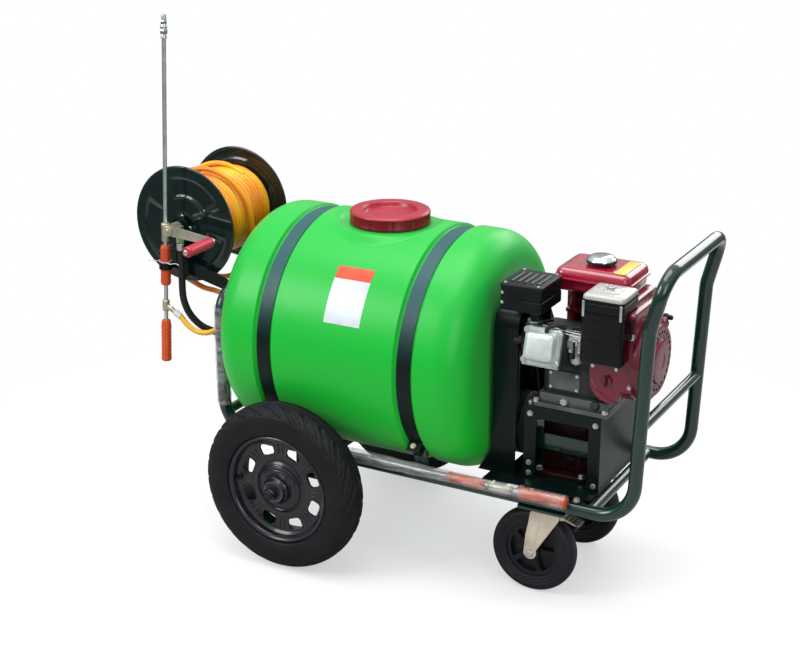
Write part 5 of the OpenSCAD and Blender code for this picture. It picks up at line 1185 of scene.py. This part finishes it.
# Valve block with ports, air chamber, outlet cock and its union nuts
p = Piece(alloy, brass, steel)
p.block((576.2, 40.2, 339.2), (675.8, 65.8, 398.8), 4, 2)
p.bolts([(x, 53, 339.6) for x in PLUNGERS], DOWN, 19, 6.6, 1, 10.4)
chamber = shift(584, 53, 0)
p.lathe([(9.8, 389), (9.8, 408), (12, 410)], 28, 0, chamber)
p.lathe([(18.2 * sind(t), 427 - 18.2 * cosd(t)) for t in range(28, 181, 8)], 40, 0, chamber)
p.lathe([(18.4, 426), (18.6, 427.6), (18.4, 429)], 40, 2, chamber)
p.block((644.4, 34.4, 393.2), (671.6, 61.6, 409.4), 3, 1.4)
p.lathe([(8.9, 0), (8.9, 26), (7.6, 26)], 28, 1, aim(FAR, (666, 60, 351)))
p.hexagon(22, 12, 1, aim(FAR, (666, 68, 351)))
p.hexagon(22, 8, 1, aim(FAR, (650, 60, 397)) @ Matrix.Scale(0.6, 4))
p.lathe([(5.8, 0), (5.8, 8), (4, 8)], 20, 1, aim(FAR, (650, 58, 397)))
p.lathe([(9.8, 0), (9.8, 11.6), (8, 11.6)], 28, 1, aim(BACK, (568.2, 53, 347)))
p.make("pump_manifold")

# Gauge with a bare dial and needle, regulator hand screw and cock lever
p = Piece(steel, white_patch, red_plastic, brass)
p.hexagon(12, 7, 3, shift(623, 54, 400))
p.lathe([(4.8, 399), (4.8, 413)], 20, 3, shift(623, 54, 0))
dial = aim(NEAR, (623, 58, 431), UP)
p.lathe([(0, 0), (18.6, 0), (19.8, 1.4), (19.8, 17), (20, 19), (20, 21.4), (19, 22), (17, 21.6),
    (16.8, 19.4)], 64, 0, dial)
p.lathe([(16.9, 19.2), (0, 19.2)], 48, 1, dial)
p.loft([[(-4, -0.8, z), (13, -0.25, z), (13, 0.25, z), (-4, 0.8, z)] for z in (19.6, 20.2)],
    2, dial @ turn(radians(128)))
p.lathe([(2.2, 19.2), (2.2, 20.8), (0, 20.9)], 16, 2, dial)
for k in range(11):
    a = radians(-135 + 27 * k)
    p.block((12.8, -0.3, 19.2), (15.8, 0.3, 19.5), 0.2, 0.1, 2, dial @ turn(a), 1)
p.make("pressure_gauge", name="gauge_detail")
p = Piece(red_plastic, steel)
knob = shift(658, 48, 409)
p.lathe([(0, -13), (4.9, -13), (4.9, 2)], 20, 1, knob)
p.lathe([(4.9, 2.2), (11.6, 2.2), (12.8, 3.6), (12.8, 17.6), (11.4, 19.6), (7, 20), (6, 18.6), (0, 18.6)],
    96, 0, knob, False, lambda a, i: -1.5 * max(0, cos(8 * a)) ** 2 if 2 <= i <= 4 else 0)
p.make("pressure_knob", "regulator", sharp=40, name="regulator_detail")
p = Piece(red_plastic, steel)
cock = shift(666, 74, 351)
p.lathe([(0, 7), (2.9, 7), (2.9, 14)], 16, 1, cock)
p.lathe([(0, 14), (7.6, 14), (8, 14.6), (8, 17.4), (7, 18), (3, 18), (3, 19), (0, 19)], 32, 1, cock)
p.block((0, -4.8, 14), (44, 4.8, 18), 4, 1.2, 0, cock)
p.make("valve_lever", "valve", sharp=40)

# Pulleys with V grooves
for name, body, at, r, bore_r in (("pump_pulley", "pump_drive", shaft, 76, 10),
        ("crank_pulley", "engine_drive", crank_axis, 38, 9.5)):
    p = Piece(alloy_grey, steel)
    prof = [(bore_r, 484)]
    prof += [(r - 1, 484), (r, 485), (r, 486.4), (r - 10, 489.6), (r - 10, 495.4), (r, 498.6), (r, 501.4),
        (r - 10, 504.6), (r - 10, 510.4), (r, 513.6), (r, 515), (r - 1, 516)]
    prof += [(bore_r + 16, 516), (bore_r + 15, 512), (bore_r + 10, 512), (bore_r + 10, 521), (bore_r, 522)]
    p.lathe(prof, 88, 0, at)
    p.lathe([(0, 482), (bore_r - 1, 482), (bore_r, 483), (bore_r, 578), (0, 578)], 36, 1, at)
    if r > 50:
        for k in range(4):
            p.lathe([(0, 483.6), (13, 483.6), (14, 484.2)], 28, 1, at @ turn(k * pi / 2) @ shift(44))
    p.make(name, body)

# Bolts and nuts on the stand, then a bar across its front and the tray under the pump
p = Piece(steel, zinc, paint)
p.bolts(product((556, 726), (-112, 112), (460.2,)), UP, 13, 6, 0, 8)
p.bolts([(x, -127.2, z) for x, z in ((560, 290), (560, 316), (722, 290), (560, 440), (722, 440))],
    NEAR, 10, 4.6, 0, 7)
p.bolts(product((573, 709), (-191, 191), (278.6,)), UP, 13, 6, 1, 8.5)
p.make("", name="stand_bolts")
p = Piece(paint, paint_dark)
p.block((550, -101.6, 346), (732, -98.4, 386), 2, 0.6)
p.block((492, -173, 273.2), (734, 173, 276.4), 3, 0.6, 1)
for x, z in product((556, 726), (356, 376)):
    p.lathe([(3.6, 0), (3.4, 1.6), (0, 2)], 14, 0, aim(NEAR, (x, -101.6, z)))
p.make("", name="stand_tray")

# ---- CAD nodes that show, or whose own look differs from their piece's ---------------------
CAD_LOOKS = (
    (paint, "side_tube_near side_tube_far push_bar cross_tubes axle_brackets tank_saddles caster_beam"),
    (paint_dark, "reel_brackets engine_stand belt_guard"),
    (strap_paint, "strap_bands"),
    (zinc, "axle_nuts caster_plates strap_bolts reel_swivel"),
    (steel, "axle crank_pulley pump_pulley"),
    (alloy, "valve_cover"),
    (sump_grey, "wheel_bearings"),
    (rubber_black, "drive_belts"),
    (plastic_black, "filler_strainer"),
    (red_plastic, "engine_switch"),
)
for look, names in CAD_LOOKS:
    for n in names.split():
        dress(n, look)

# ---- floor --------------------------------------------------------------------------------
bpy.ops.mesh.primitive_circle_add(vertices=96, radius=2.6, fill_type="NGON", location=(0, 0, 0))
floor = bpy.context.object
floor.name = "floor"
floor_look = Mat("pale_floor", (0.93, 0.93, 0.93), 0.9)
floor_look.colour(floor_look.noise(0.7, 2), [(0.3, (0.92, 0.92, 0.92)), (0.7, (0.95, 0.95, 0.95))])
far_off = floor_look.node("ShaderNodeVectorMath", operation="LENGTH")
floor_look.link(floor_look.coord.outputs["Object"], far_off.inputs[0])
fade = floor_look.node("ShaderNodeMapRange", interpolation_type="SMOOTHSTEP", From_Min=0.5, From_Max=1.6,
                       To_Min=0.5, To_Max=1.0)
floor_look.link(far_off.outputs["Value"], fade.inputs["Value"])
clear = floor_look.node("ShaderNodeEmission", Color=(1, 1, 1, 1), Strength=1.0)
grey = floor_look.node("ShaderNodeBsdfDiffuse", Color=(0.42, 0.42, 0.42, 1))
seen = floor_look.node("ShaderNodeLightPath")
blends = [floor_look.node("ShaderNodeMixShader") for _ in range(2)]
for node, fac, a, b in ((blends[0], fade.outputs[0], floor_look.bsdf.outputs[0], clear.outputs[0]),
                        (blends[1], seen.outputs["Is Camera Ray"], grey.outputs[0], blends[0].outputs[0])):
    floor_look.link(fac, node.inputs[0])
    floor_look.link(a, node.inputs[1])
    floor_look.link(b, node.inputs[2])
surface = next(n for n in floor_look.t.nodes if n.type == "OUTPUT_MATERIAL").inputs["Surface"]
floor_look.link(blends[1].outputs[0], surface)
floor.data.materials.append(floor_look.m)
